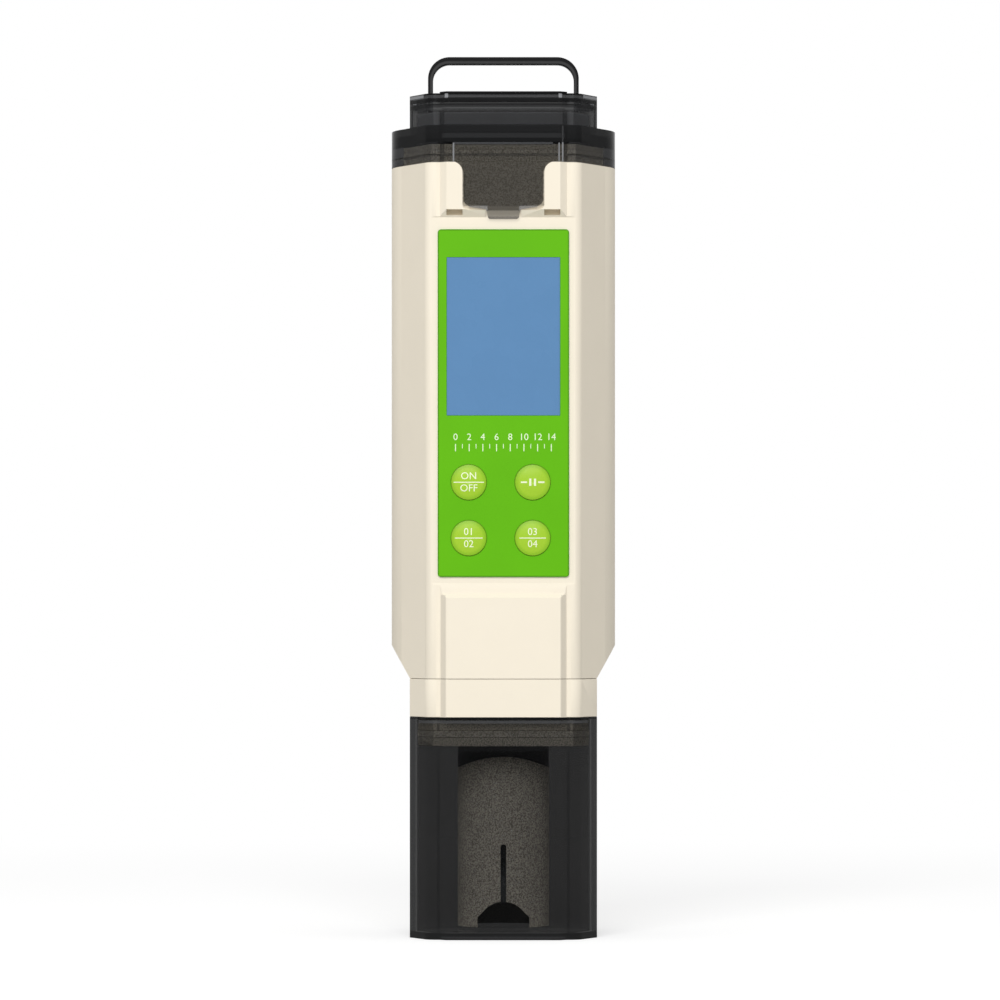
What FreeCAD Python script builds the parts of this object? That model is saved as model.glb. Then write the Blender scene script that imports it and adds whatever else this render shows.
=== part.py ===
"""Pen-shaped water quality tester with a green keypad panel, a smoked battery cap and a smoked probe cap.

The tester stands on its probe cap. +Z points up along the pen, the panel faces -Y and X runs to the
right as the panel is read. The origin is at the centre of the underside, and lengths are millimetres.
"""

import FreeCAD, Part
import math
import os

import Sketcher

SIZES = {
    # outline seen from above: two flat crests, sloping cheeks and curved sides
    "body_width": 40.3,
    "crest_depth": 34.0,  # between the front crest and the rear crest
    "crest_margin": 3.275,  # from the side of the screen to the corner of a crest
    "cheek_slope": 0.51,  # how far a cheek widens for each millimetre towards the middle
    "side_chord": 14.5,  # depth of the curved side
    "crest_round": 2.2,
    "plateau_span": 20.2,  # flat width of the raised centre panel
    "plateau_rise": 1.2,
    "plateau_bevel": 1.2,
    # heights, from the table up
    "probe_cap_height": 39.5,
    "neck_height": 6.85,
    "taper_height": 5.9,
    "lower_plateau": 14.3,
    "ramp_fillet": 3.6,
    "ramp_ease": 1.3,
    "label_margin": 2.4,
    "label_height": 61.7,
    "pad_margin": 2.15,
    "rib_height": 8.4,
    "skirt_height": 3.6,
    "collar_height": 3.0,
    "block_height": 5.9,
    # housing
    "shell_wall": 1.8,
    "narrow_width": 33.45,  # the neck, the probe cap and the block of the battery cap
    "pad_sink": 0.15,  # the label pad lies this far below the crest
    "spigot_height": 3.3,
    "spigot_wall": 1.5,
    "spigot_groove_drop": 2.1,  # from the top of the spigot to the foot of its groove
    "parting_gap": 0.1,  # the line left between a cap or neck and its neighbour
    "slide_gap": 0.15,  # round a cap's spigot
    "seal_gap": 0.1,
    "fit_gap": 0.1,  # round a piece that another one holds
    "seal_width": 1.2,
    "seal_depth": 0.8,
    "strip_margin": 2.5,  # from the taper to the foot of a side seal
    # battery cap and its latch tongue
    "cap_wall": 1.2,
    "skirt_wall": 0.6,
    "rim_step": 0.25,  # by which the raised panels stand above the rim
    "deck_depth": 2.3,  # from the rim down to the recessed deck
    "deck_thickness": 1.2,
    "pocket_width": 14.5,
    "pocket_sink": 1.35,  # below the face of the raised panel
    "pocket_corner": 2.0,
    "pocket_foot": 0.15,  # how far the pocket cuts into the rib's foot
    "tongue_thickness": 1.2,
    "tongue_gap": 0.2,
    "tongue_corner": 1.1,
    "tongue_drop": 0.9,  # by which the tongue's middle reaches below its sides
    "lip_height": 0.65,
    "lip_thickness": 0.5,
    "lip_overlap": 0.6,
    "tab_width": 5.5,
    "tab_height": 1.75,
    "tab_round": 0.3,
    "notch_height": 1.0,
    "notch_depth": 2.4,  # from the face of the raised panel
    # hanging bail
    "bail_width": 27.2,
    "bail_rise": 7.75,  # above the rim of the battery cap
    "bail_bar": 1.4,
    "bail_leg": 0.9,
    "bail_depth": 1.8,
    "bail_corner": 3.9,
    "bail_soft": 0.25,
    "trunnion_radius": 0.65,
    "pivot_gap": 0.05,
    "pivot_drop": 1.3,  # from the rim down to the pivot
    "boss_radius": 1.05,
    "boss_gap": 0.2,  # between the bail's leg and its boss
    "pivot_skin": 0.45,  # left between the pivot hole and the outside
    # inside the battery cap
    "insert_gap": 0.25,
    "contact_margin": 3.0,  # how far the contact's disc reaches past the cells
    "contact_dome": 3.2,
    "contact_dome_span": 2.2,
    "contact_sheet": 0.4,
    "contact_rise": 0.6,  # from the top of the spigot to the disc
    # panel
    "label_border": 1.63,  # left and right of the screen
    "label_thickness": 0.3,
    "label_corner": 0.6,
    "screen_width": 20.05,
    "screen_height": 28.0,
    "screen_drop": 5.0,  # from the top of the label to the top of the screen
    "lens_flange": 1.1,
    "lens_flange_thickness": 0.8,
    "key_radius": 3.1,
    "key_clearance": 0.15,
    "key_pitch_x": 11.33,
    "key_pitch_z": 9.9,
    "key_offset": -0.48,  # the key field sits left of the panel's middle
    "key_row": 6.9,  # from the bottom of the label to the lower keys
    "key_proud": 0.55,
    "key_dome": 0.35,
    "key_flange": 0.7,
    "key_flange_thickness": 0.6,
    "key_travel": 0.4,
    "key_seal_thickness": 0.4,
    "key_seal_margin": 2.2,
    # board and display
    "board_front": 10.0,  # from the pen's axis to the front of the board
    "board_width": 27.6,
    "board_thickness": 1.2,
    "board_height": 69.0,
    "board_rise": 14.65,  # from the seam up to the foot of the board
    "glass_margin": 1.3,
    "glass_thickness": 1.9,
    "backlight_thickness": 1.2,
    "zebra_height": 2.0,
    "frame_wall": 1.0,
    "frame_shelf": 0.6,
    "light_margin": 0.3,
    "switch_side": 6.0,
    "switch_depth": 2.6,
    "plunger_radius": 1.5,
    "plunger_sunk": 0.45,  # how far a resting plunger stands in its switch
    "screw_radius": 1.0,
    "screw_head": 1.9,
    "screw_head_height": 1.2,
    "screw_grip": 4.0,
    "screw_edge": 2.6,  # from the edge of the board to a screw
    "screw_wall": 0.4,  # by which a boss is wider than the screw's head
    "chip_side": 10.0,
    "chip_thickness": 1.5,
    "chip_rise": 16.0,  # from the foot of the label
    "amplifier_width": 6.0,
    "amplifier_height": 4.5,
    "amplifier_thickness": 1.4,
    "amplifier_rise": 8.0,  # from the foot of the board
    "socket_width": 12.0,
    "socket_height": 4.7,
    "socket_thickness": 3.0,
    "socket_rise": 0.3,
    # cells
    "cell_radius": 5.8,
    "cell_height": 5.4,
    "cell_count": 4,
    "tube_wall": 1.25,
    "tube_offset": 3.5,  # the cells stand behind the pen's axis
    "tube_floor": 1.2,
    "cell_drop": 0.45,  # from the top of the spigot to the top of the cells
    "cell_step": 0.6,  # height of a cell's narrower face
    "cell_rim": 1.1,
    "holder_flange": 2.0,
    "strip_thickness": 0.4,
    "strip_width": 3.0,
    "strip_tail": 3.0,
    "strip_slot": 3.0,
    "leaf_span": 9.0,
    "leaf_width": 3.6,
    "leaf_thickness": 0.25,
    "leaf_rise": 1.3,
    # probe
    "spigot_inset": 1.5,
    "spigot_drop": 5.2,
    "cap_floor": 1.2,
    "guard_radius": 8.25,
    "guard_wall": 1.25,
    "guard_start": 1.6,
    "guard_drop": 4.3,  # from the end of the neck's spigot to the guard's shoulder
    "guard_arch": 2.2,  # height of the arched top above its shoulder
    "guard_roof": 1.2,
    "notch_span": 9.3,
    "notch_step": 3.4,  # up to where the notch begins to narrow
    "arch_span": 7.3,
    "notch_top": 6.25,
    "slot_width": 1.0,
    "slot_top": 16.55,
    "core_radius": 6.6,
    "core_length": 14.2,
    "core_play": 1.8,  # from the guard's shoulder down to the core
    "stem_radius": 4.5,
    "stem_rise": 3.5,  # above the floor of the neck
    "neck_floor": 3.2,
    "neck_wall": 2.6,
    "lower_groove_rise": 1.6,
    "upper_groove_rise": 1.8,
    "nut_corner": 6.2,
    "nut_height": 2.4,
    "bulb_radius": 2.9,
    "bulb_stem": 2.0,
    "bulb_reach": 8.4,  # the tips' distances below the face of the core
    "conductivity_radius": 0.6,
    "conductivity_reach": 5.5,
    "orp_radius": 0.8,
    "orp_reach": 5.5,
    "temperature_radius": 1.0,
    "temperature_reach": 7.5,
    "junction_radius": 0.9,
    "junction_reach": 2.5,
    "pin_circle": 4.9,
    "pin_root": 5.0,  # how far a pin runs into the core
    "plug_width": 10.0,
    "plug_depth": 5.0,
    "plug_height": 4.0,
    "ribbon_width": 8.0,
    "ribbon_thickness": 0.4,
    "ribbon_run": 1.0,  # the ribbon's straight end at the board's socket
    "ribbon_slope": 5.0,  # height over which the ribbon crosses to the board
    "ribbon_entry": 3.0,  # from the foot of the board to the ribbon's end
}

doc = FreeCAD.newDocument("WaterQualityTester")
sheet = doc.addObject("Spreadsheet::Sheet", "Sizes")
for row, (alias, number) in enumerate(SIZES.items(), start=1):
    sheet.set("A%d" % row, alias)
    sheet.set("B%d" % row, "%.6g" % number)
    sheet.setAlias("B%d" % row, alias)
doc.recompute()


class Size:
    """A length and the sheet expression it comes from, so that drawing and binding use one value."""

    def __init__(self, number, text):
        self.number = float(number)
        self.text = text

    @staticmethod
    def of(value):
        return value if isinstance(value, Size) else Size(value, "%.9g" % value)

    def combine(self, other, sign, number):
        return Size(number, "(%s %s %s)" % (self.text, sign, other.text))

    def __add__(self, other):
        other = Size.of(other)
        return self.combine(other, "+", self.number + other.number)

    def __radd__(self, other):
        return Size.of(other) + self

    def __sub__(self, other):
        other = Size.of(other)
        return self.combine(other, "-", self.number - other.number)

    def __rsub__(self, other):
        return Size.of(other) - self

    def __mul__(self, other):
        other = Size.of(other)
        return self.combine(other, "*", self.number * other.number)

    def __rmul__(self, other):
        return Size.of(other) * self

    def __truediv__(self, other):
        other = Size.of(other)
        return self.combine(other, "/", self.number / other.number)

    def __neg__(self):
        return Size(-self.number, "(-1 * %s)" % self.text)


def root(size):
    """Square root of a Size."""
    return Size(math.sqrt(size.number), "sqrt(%s)" % size.text)


class Sheet:
    """The sheet's cells as Sizes, read by their alias."""

    def __getattr__(self, alias):
        return Size(sheet.get(alias), "Sizes.%s" % alias)


d = Sheet()
ZERO = Size(0, "0")
OVER = 1  # a cut starts this far outside the solid that it cuts

nodes = {}


def bind(thing, path, size):
    """Ties one property of a document object to the sheet."""
    size = Size.of(size)
    if "Sizes." in size.text:
        thing.setExpression(path, size.text)
    return size.number


def node(name, thing):
    """Names an object as one of the tester's pieces."""
    thing.Label = name
    nodes[name] = thing
    return thing


# Sketches and the features made from them


def draw(body, name, plane, offset, loops):
    """Sketch of closed loops on one of a body's origin planes, moved along the plane's normal.

    A loop's corner is (x, y), or (x, y, radius) where the edge that leaves it is an arc that bulges
    to the right of the way the loop runs, or to the left for a negative radius. A loop that is a
    single (x, y, radius) is a circle. Every corner and radius is tied to the sheet.
    """
    sketch = body.newObject("Sketcher::SketchObject", name)
    origin = next(part for part in body.Origin.OriginFeatures if part.Role == plane)
    sketch.AttachmentSupport = (origin, [""])
    sketch.MapMode = "FlatFace"
    offset = Size.of(offset)
    sketch.AttachmentOffset = FreeCAD.Placement(
        FreeCAD.Vector(0, 0, offset.number), FreeCAD.Rotation()
    )
    bind(sketch, "AttachmentOffset.Base.z", offset)
    for loop in loops:
        if len(loop) == 1:
            draw_circle(sketch, *loop[0])
        else:
            draw_loop(sketch, loop)
    return sketch


def hold(sketch, geometry, point, x, y):
    """Fixes one point of a sketch at (x, y) with constraints that follow the sheet."""
    for axis, kind, size in ((-2, "DistanceX", Size.of(x)), (-1, "DistanceY", Size.of(y))):
        if abs(size.number) < 1e-9:
            sketch.addConstraint(
                Sketcher.Constraint("PointOnObject", geometry, point, axis)
            )
            continue
        if size.number > 0:
            ends = (-1, 1, geometry, point)
        else:
            ends = (geometry, point, -1, 1)
            size = -size
        index = sketch.addConstraint(Sketcher.Constraint(kind, *ends, size.number))
        bind(sketch, "Constraints[%d]" % index, size)


def draw_circle(sketch, x, y, radius):
    x, y, radius = Size.of(x), Size.of(y), Size.of(radius)
    centre = FreeCAD.Vector(x.number, y.number, 0)
    circle = sketch.addGeometry(
        Part.Circle(centre, FreeCAD.Vector(0, 0, 1), radius.number), False
    )
    hold(sketch, circle, 3, x, y)
    index = sketch.addConstraint(Sketcher.Constraint("Radius", circle, radius.number))
    bind(sketch, "Constraints[%d]" % index, radius)


def draw_loop(sketch, loop):
    corners = [FreeCAD.Vector(Size.of(c[0]).number, Size.of(c[1]).number, 0) for c in loop]
    edges = []
    for i, corner in enumerate(loop):
        start, end = corners[i], corners[(i + 1) % len(loop)]
        if len(corner) == 3:
            radius = Size.of(corner[2])
            edges.append(draw_arc(sketch, start, end, radius))
        else:
            edges.append((sketch.addGeometry(Part.LineSegment(start, end), False), 1, 2))
    for i, corner in enumerate(loop):
        geometry, start, _ = edges[i]
        before, _, end = edges[i - 1]
        sketch.addConstraint(Sketcher.Constraint("Coincident", before, end, geometry, start))
        hold(sketch, geometry, start, corner[0], corner[1])


def draw_arc(sketch, start, end, radius):
    """Minor arc between two points. Returns its geometry and which of its ends start and end it."""
    chord = end - start
    right = FreeCAD.Vector(chord.y, -chord.x, 0).normalize()
    half = chord.Length / 2
    size = max(abs(radius.number), half)
    sagitta = math.copysign(size - math.sqrt(size * size - half * half), radius.number)
    middle = (start + end) / 2 + right * sagitta
    forward = radius.number > 0
    ends = (start, middle, end) if forward else (end, middle, start)
    geometry = sketch.addGeometry(Part.Arc(*ends), False)
    index = sketch.addConstraint(Sketcher.Constraint("Radius", geometry, size))
    bind(sketch, "Constraints[%d]" % index, radius if forward else -radius)
    return (geometry, 1, 2) if forward else (geometry, 2, 1)


def body_of(name):
    return doc.addObject("PartDesign::Body", name)


def extrude(body, kind, sketch, length, reverse=False):
    """Pad along the sketch's normal, or Pocket against it; reverse turns either round."""
    feature = body.newObject("PartDesign::" + kind, sketch.Name + "_" + kind.lower())
    feature.Profile = sketch
    length = Size.of(length)
    feature.Length = length.number
    bind(feature, "Length", length)
    feature.Reversed = reverse
    sketch.Visibility = False
    return feature


def pad_up(body, name, loops, bottom, top):
    """Pad of an outline seen from above, between two heights."""
    bottom = Size.of(bottom)
    return extrude(body, "Pad", draw(body, name, "XY_Plane", bottom, loops), top - bottom)


def pocket_up(body, name, loops, bottom, top):
    """Pocket of an outline seen from above, between two heights."""
    bottom = Size.of(bottom)
    return extrude(
        body, "Pocket", draw(body, name, "XY_Plane", bottom, loops), top - bottom, True
    )


def pad_back(body, name, loops, front, back):
    """Pad of an outline seen from the front, from y = front to y = back."""
    front = Size.of(front)
    sketch = draw(body, name, "XZ_Plane", -front, loops)
    return extrude(body, "Pad", sketch, back - front, True)


def pocket_back(body, name, loops, front, back):
    """Pocket of an outline seen from the front, from y = front to y = back."""
    front = Size.of(front)
    sketch = draw(body, name, "XZ_Plane", -front, loops)
    return extrude(body, "Pocket", sketch, back - front)


def pad_right(body, name, loops, left, right):
    """Pad of an outline in Y and Z, from x = left to x = right."""
    left = Size.of(left)
    return extrude(body, "Pad", draw(body, name, "YZ_Plane", left, loops), right - left)


def pocket_right(body, name, loops, left, right):
    """Pocket of an outline in Y and Z, from x = left to x = right."""
    left = Size.of(left)
    sketch = draw(body, name, "YZ_Plane", left, loops)
    return extrude(body, "Pocket", sketch, right - left, True)


def revolve(body, name, loop, plane="XZ_Plane"):
    """Revolution of an outline about the upright axis of the plane that it is drawn on."""
    sketch = draw(body, name, plane, ZERO, [loop])
    feature = body.newObject("PartDesign::Revolution", name + "_turned")
    feature.Profile = sketch
    feature.ReferenceAxis = (sketch, ["V_Axis"])
    feature.Angle = 360
    sketch.Visibility = False
    return feature


def round_edges(body, name, radius, chosen):
    """Fillet on the edges of the body's last feature that the test picks."""
    doc.recompute()
    tip = body.Tip
    names = [
        "Edge%d" % (i + 1) for i, edge in enumerate(tip.Shape.Edges) if chosen(edge)
    ]
    fillet = body.newObject("PartDesign::Fillet", name)
    fillet.Base = (tip, names)
    radius = Size.of(radius)
    fillet.Radius = radius.number
    bind(fillet, "Radius", radius)
    return fillet


def runs_along(edge, axis):
    """Whether an edge is straight and runs along one axis, 0 to 2 for X to Z."""
    if not isinstance(edge.Curve, Part.Line):
        return False
    span = edge.Vertexes[-1].Point - edge.Vertexes[0].Point
    return abs(abs(span[axis]) - span.Length) < 1e-6


def rectangle(left, right, bottom, top):
    return [(left, bottom), (right, bottom), (right, top), (left, top)]


# Solids from primitives


def place(thing, x, y, z, rotation=None):
    thing.Placement = FreeCAD.Placement(
        FreeCAD.Vector(Size.of(x).number, Size.of(y).number, Size.of(z).number),
        rotation or FreeCAD.Rotation(),
    )
    bind(thing, "Placement.Base.x", x)
    bind(thing, "Placement.Base.y", y)
    bind(thing, "Placement.Base.z", z)
    return thing


def block(name, left, right, front, back, bottom, top):
    """Box between two X, two Y and two Z values."""
    box = doc.addObject("Part::Box", name)
    for prop, low, high in (
        ("Length", left, right),
        ("Width", front, back),
        ("Height", bottom, top),
    ):
        span = Size.of(high) - Size.of(low)
        setattr(box, prop, span.number)
        bind(box, prop, span)
    return place(box, left, front, bottom)


UPRIGHT = FreeCAD.Rotation()
TO_THE_BACK = FreeCAD.Rotation(FreeCAD.Vector(1, 0, 0), -90)


def rod(name, radius, length, x, y, z, rotation=UPRIGHT):
    """Cylinder that starts at a point and runs up, or to the back."""
    cylinder = doc.addObject("Part::Cylinder", name)
    radius, length = Size.of(radius), Size.of(length)
    cylinder.Radius = radius.number
    cylinder.Height = length.number
    bind(cylinder, "Radius", radius)
    bind(cylinder, "Height", length)
    return place(cylinder, x, y, z, rotation)


def ball(name, radius, x, y, z):
    sphere = doc.addObject("Part::Sphere", name)
    radius = Size.of(radius)
    sphere.Radius = radius.number
    bind(sphere, "Radius", radius)
    return place(sphere, x, y, z)


def fuse(name, *shapes):
    union = doc.addObject("Part::MultiFuse", name)
    union.Shapes = list(shapes)
    union.Refine = True
    return union


def group(name, *shapes):
    """Separate solids kept together as one piece of the list."""
    compound = doc.addObject("Part::Compound", name)
    compound.Links = list(shapes)
    return compound


def cut(name, base, *tools):
    difference = doc.addObject("Part::Cut", name)
    difference.Base = base
    difference.Tool = tools[0] if len(tools) == 1 else fuse(name + "_tools", *tools)
    return difference


# The outline that housing, neck and caps share

HALF_CREST = d.screen_width / 2 + d.crest_margin
HALF_DEPTH = d.crest_depth / 2
HALF_CHORD = d.side_chord / 2
PANEL_FACE = HALF_DEPTH + d.plateau_rise
PAD_FACE = HALF_DEPTH - d.pad_sink


def outline(inset, half_width=None):
    """Outline from above, moved inwards by inset; half_width cuts its sides off flat."""
    inset = Size.of(inset)
    slant = root(1 + d.cheek_slope * d.cheek_slope)
    crest_x = HALF_CREST - inset * (slant - d.cheek_slope)
    crest_y = HALF_DEPTH - inset
    if half_width is None:
        side_y = HALF_CHORD
        side_x = crest_x + d.cheek_slope * (crest_y - HALF_CHORD)
        sagitta = d.body_width / 2 - inset - side_x
        radius = (side_y * side_y + sagitta * sagitta) / (2 * sagitta)
        curve = (radius,)
    else:
        side_x = Size.of(half_width)
        side_y = crest_y - (side_x - crest_x) / d.cheek_slope
        curve = ()
    return [
        (-crest_x, -crest_y),
        (crest_x, -crest_y),
        (side_x, -side_y) + curve,
        (side_x, side_y),
        (crest_x, crest_y),
        (-crest_x, crest_y),
        (-side_x, side_y) + curve,
        (-side_x, -side_y),
    ]


def plateaus():
    """Outlines from above of the raised panels on the front and the back."""
    top = d.plateau_span / 2
    foot = top + d.plateau_bevel
    root_y = HALF_DEPTH - 2 * OVER
    loops = []
    for side in (-1, 1):
        loops.append(
            [
                (foot, side * root_y),
                (foot, side * HALF_DEPTH),
                (top, side * PANEL_FACE),
                (-top, side * PANEL_FACE),
                (-foot, side * HALF_DEPTH),
                (-foot, side * root_y),
            ]
        )
    return loops


def at_crest_corner(edge):
    """Whether an upright edge stands where a crest meets a cheek."""
    middle = edge.CenterOfMass
    return (
        runs_along(edge, 2)
        and abs(abs(middle.x) - HALF_CREST.number) < 0.01
        and abs(abs(middle.y) - HALF_DEPTH.number) < 0.01
    )


# Heights

NECK_Z = d.probe_cap_height
SEAM_Z = NECK_Z + d.neck_height
TAPER_Z = SEAM_Z + d.taper_height
RAMP_Z = SEAM_Z + d.lower_plateau
RAMP_RISE = d.plateau_rise + d.pad_sink
LABEL_Z = RAMP_Z + RAMP_RISE + d.label_margin
LABEL_TOP = LABEL_Z + d.label_height
PAD_TOP = LABEL_TOP + d.pad_margin
RIB_Z = PAD_TOP + RAMP_RISE
SHOULDER_Z = RIB_Z + d.rib_height
SPIGOT_TOP = SHOULDER_Z + d.spigot_height
COLLAR_Z = SHOULDER_Z + d.skirt_height
LEDGE_Z = COLLAR_Z + d.collar_height
RIM_Z = LEDGE_Z + d.block_height
NARROW = d.narrow_width / 2

SCREEN_TOP = LABEL_TOP - d.screen_drop
SCREEN_Z = SCREEN_TOP - d.screen_height
SHELL_BACK = HALF_DEPTH - d.shell_wall  # distance from the axis to the wall's inner face

KEYS = {
    "power": (-1, 1),
    "hold": (1, 1),
    "mode": (-1, 0),
    "unit": (1, 0),
}


def key_place(column, row):
    """Centre of one key in X and Z."""
    x = d.key_offset + column * d.key_pitch_x / 2
    z = LABEL_Z + d.key_row + row * d.key_pitch_z
    return x, z


# Housing, in two shells that part at y = 0

SPIGOT_INSET = d.skirt_wall + d.slide_gap
GROOVE_Z = SPIGOT_TOP - d.spigot_groove_drop
TONGUE_Z = RIB_Z - d.pocket_foot
BOARD_Z = SEAM_Z + d.board_rise
BOARD_TOP = BOARD_Z + d.board_height
SCREW_X = d.board_width / 2 - d.screw_edge
SCREW_Z = (BOARD_Z + d.screw_edge, BOARD_TOP - d.screw_edge)
SCREW_PLACES = [(side * SCREW_X, z) for side in (-1, 1) for z in SCREW_Z]


def tongue_outline(gap, low, corner):
    """Outline from the front of the latch tongue or, with no gap, of the pocket it lies in."""
    half = d.pocket_width / 2 - gap
    flare = d.pocket_corner + gap
    top = SHOULDER_Z + d.parting_gap
    over = top + OVER
    return [
        (-half + corner, low),
        (half - corner, low, corner),
        (half, low + corner),
        (half, top - flare, -flare),
        (half + flare, top),
        (half + flare, over),
        (-half - flare, over),
        (-half - flare, top, -flare),
        (-half, top - flare),
        (-half, low + corner, corner),
    ]


def make_housing():
    body = body_of("housing")
    pad_up(body, "housing_outline", [outline(0)], SEAM_Z, SHOULDER_Z)
    round_edges(body, "housing_crests", d.crest_round, at_crest_corner)
    pad_up(body, "housing_panels", plateaus(), SEAM_Z, SHOULDER_Z)
    pad_up(body, "spigot", [outline(SPIGOT_INSET)], SHOULDER_Z - OVER, SPIGOT_TOP)
    seal_groove(body, "spigot_groove", GROOVE_Z, SPIGOT_INSET)
    beyond = d.body_width
    tapers = []
    for side in (-1, 1):
        tapers.append(
            [
                (side * NARROW, SEAM_Z - OVER),
                (side * beyond, SEAM_Z - OVER),
                (side * beyond, TAPER_Z),
                (side * d.body_width / 2, TAPER_Z),
                (side * NARROW, SEAM_Z),
            ]
        )
    pocket_back(body, "tapers", tapers, -beyond, beyond)
    label_cut = [
        (-beyond, RAMP_Z - (beyond - PANEL_FACE)),
        (-PANEL_FACE, RAMP_Z),
        (-PAD_FACE - RAMP_RISE * 0.35, RAMP_Z + RAMP_RISE * 0.65, -d.ramp_fillet),
        (-PAD_FACE, RAMP_Z + RAMP_RISE + d.ramp_ease),
        (-PAD_FACE, PAD_TOP),
        (-PANEL_FACE, RIB_Z),
        (-beyond, RIB_Z + (beyond - PANEL_FACE)),
    ]
    pocket_right(body, "label_pad", [label_cut], -beyond, beyond)
    pocket_floor = -(PANEL_FACE - d.pocket_sink)
    pocket_back(
        body,
        "latch_pocket",
        [tongue_outline(ZERO, TONGUE_Z, d.tongue_corner)],
        -beyond,
        pocket_floor,
    )
    half_tab = d.tab_width / 2 + 2 * d.tongue_gap
    pocket_back(
        body,
        "tab_pocket",
        [rectangle(-half_tab, half_tab, TONGUE_Z - d.tab_height - 2 * d.tongue_gap, TONGUE_Z + OVER)],
        -beyond,
        pocket_floor,
    )
    rib_in, rib_out = d.pocket_width / 2, d.plateau_span / 2
    notch_z = RIB_Z - d.notch_height
    notches = [
        rectangle(-rib_out, -rib_in, notch_z, RIB_Z),
        rectangle(rib_in, rib_out, notch_z, RIB_Z),
    ]
    pocket_back(body, "rib_notches", notches, -beyond, d.notch_depth - PANEL_FACE)
    cavity_z = TAPER_Z + d.shell_wall / 2
    pocket_up(
        body,
        "socket",
        [outline(d.shell_wall, NARROW - d.shell_wall)],
        SEAM_Z - OVER,
        cavity_z,
    )
    pocket_up(
        body, "cavity", [outline(d.shell_wall)], cavity_z, SHOULDER_Z - d.shell_wall
    )
    pocket_up(
        body,
        "mouth",
        [outline(SPIGOT_INSET + d.spigot_wall)],
        SHOULDER_Z - d.shell_wall - OVER,
        SPIGOT_TOP + OVER,
    )
    half_screen = d.screen_width / 2 + d.seal_gap
    pocket_back(
        body,
        "window",
        [
            rectangle(
                -half_screen, half_screen, SCREEN_Z - d.seal_gap, SCREEN_TOP + d.seal_gap
            )
        ],
        -beyond,
        -SHELL_BACK + OVER,
    )
    holes = [[key_place(*key) + (d.key_radius + d.key_clearance,)] for key in KEYS.values()]
    pocket_back(body, "key_holes", holes, -beyond, -SHELL_BACK + OVER)
    bosses = [[place + (d.screw_head + d.screw_wall,)] for place in SCREW_PLACES]
    pad_back(body, "board_bosses", bosses, -SHELL_BACK - d.shell_wall / 4, -d.board_front)
    screws = [[place + (d.screw_radius,)] for place in SCREW_PLACES]
    screw_end = -d.board_front - d.screw_grip - 2 * d.fit_gap
    pocket_back(body, "screw_holes", screws, screw_end, -d.board_front + OVER)
    return body


def seal_groove(body, name, bottom, inset, half_width=None):
    """Groove round a spigot for a flat sealing ring."""
    outside = outline(inset - OVER, None if half_width is None else half_width + OVER)
    deep = inset + d.seal_depth
    inside = outline(deep, None if half_width is None else half_width - d.seal_depth)
    pocket_up(body, name, [outside, inside], bottom, bottom + d.seal_width)


def make_seal(name, bottom, wall_inset, depth, half_width=None):
    """Ring that lies in a groove and stops just short of the wall round it."""
    body = body_of(name)
    outside = outline(
        wall_inset + d.seal_gap, None if half_width is None else half_width - d.seal_gap
    )
    inside = outline(
        wall_inset + depth, None if half_width is None else half_width - depth
    )
    play = d.seal_gap / 2
    pad_up(body, name + "_ring", [outside, inside], bottom + play, bottom + d.seal_width - play)
    return node(name, body)


def make_shells():
    housing = make_housing()
    reach = d.body_width
    seal_x = d.body_width / 2 - d.shell_wall / 2
    half_seal = d.seal_depth / 2
    grooves, strips = [], []
    for side in ("left", "right"):
        sign = -1 if side == "left" else 1
        edges = sorted(
            (sign * seal_x - half_seal, sign * seal_x + half_seal), key=lambda s: s.number
        )
        low, high = TAPER_Z + d.strip_margin, SHOULDER_Z - d.shell_wall - d.seal_width
        gap = d.seal_gap
        grooves.append(
            block("seal_groove_" + side, *edges, ZERO, half_seal + gap, low - gap, high + gap)
        )
        strips.append(block("seal_strip_" + side, *edges, ZERO, half_seal, low, high))
    front_half = block("front_half", -reach, reach, -reach, ZERO, SEAM_Z - OVER, RIM_Z)
    rear_half = block("rear_half", -reach, reach, ZERO, reach, SEAM_Z - OVER, RIM_Z)
    front = doc.addObject("Part::Common", "front_shell")
    front.Base, front.Tool = housing, front_half
    rear_whole = doc.addObject("Part::Common", "rear_shell_whole")
    rear_whole.Base, rear_whole.Tool = housing, rear_half
    node("front_shell", front)
    node("rear_shell", cut("rear_shell", rear_whole, *grooves))
    node("shell_seals", group("shell_seals", *strips))


# Battery cap and bail

PIVOT_Z = RIM_Z - d.pivot_drop
BAIL_LEG_X = d.bail_width / 2
BOSS_X = BAIL_LEG_X + d.boss_gap


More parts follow.
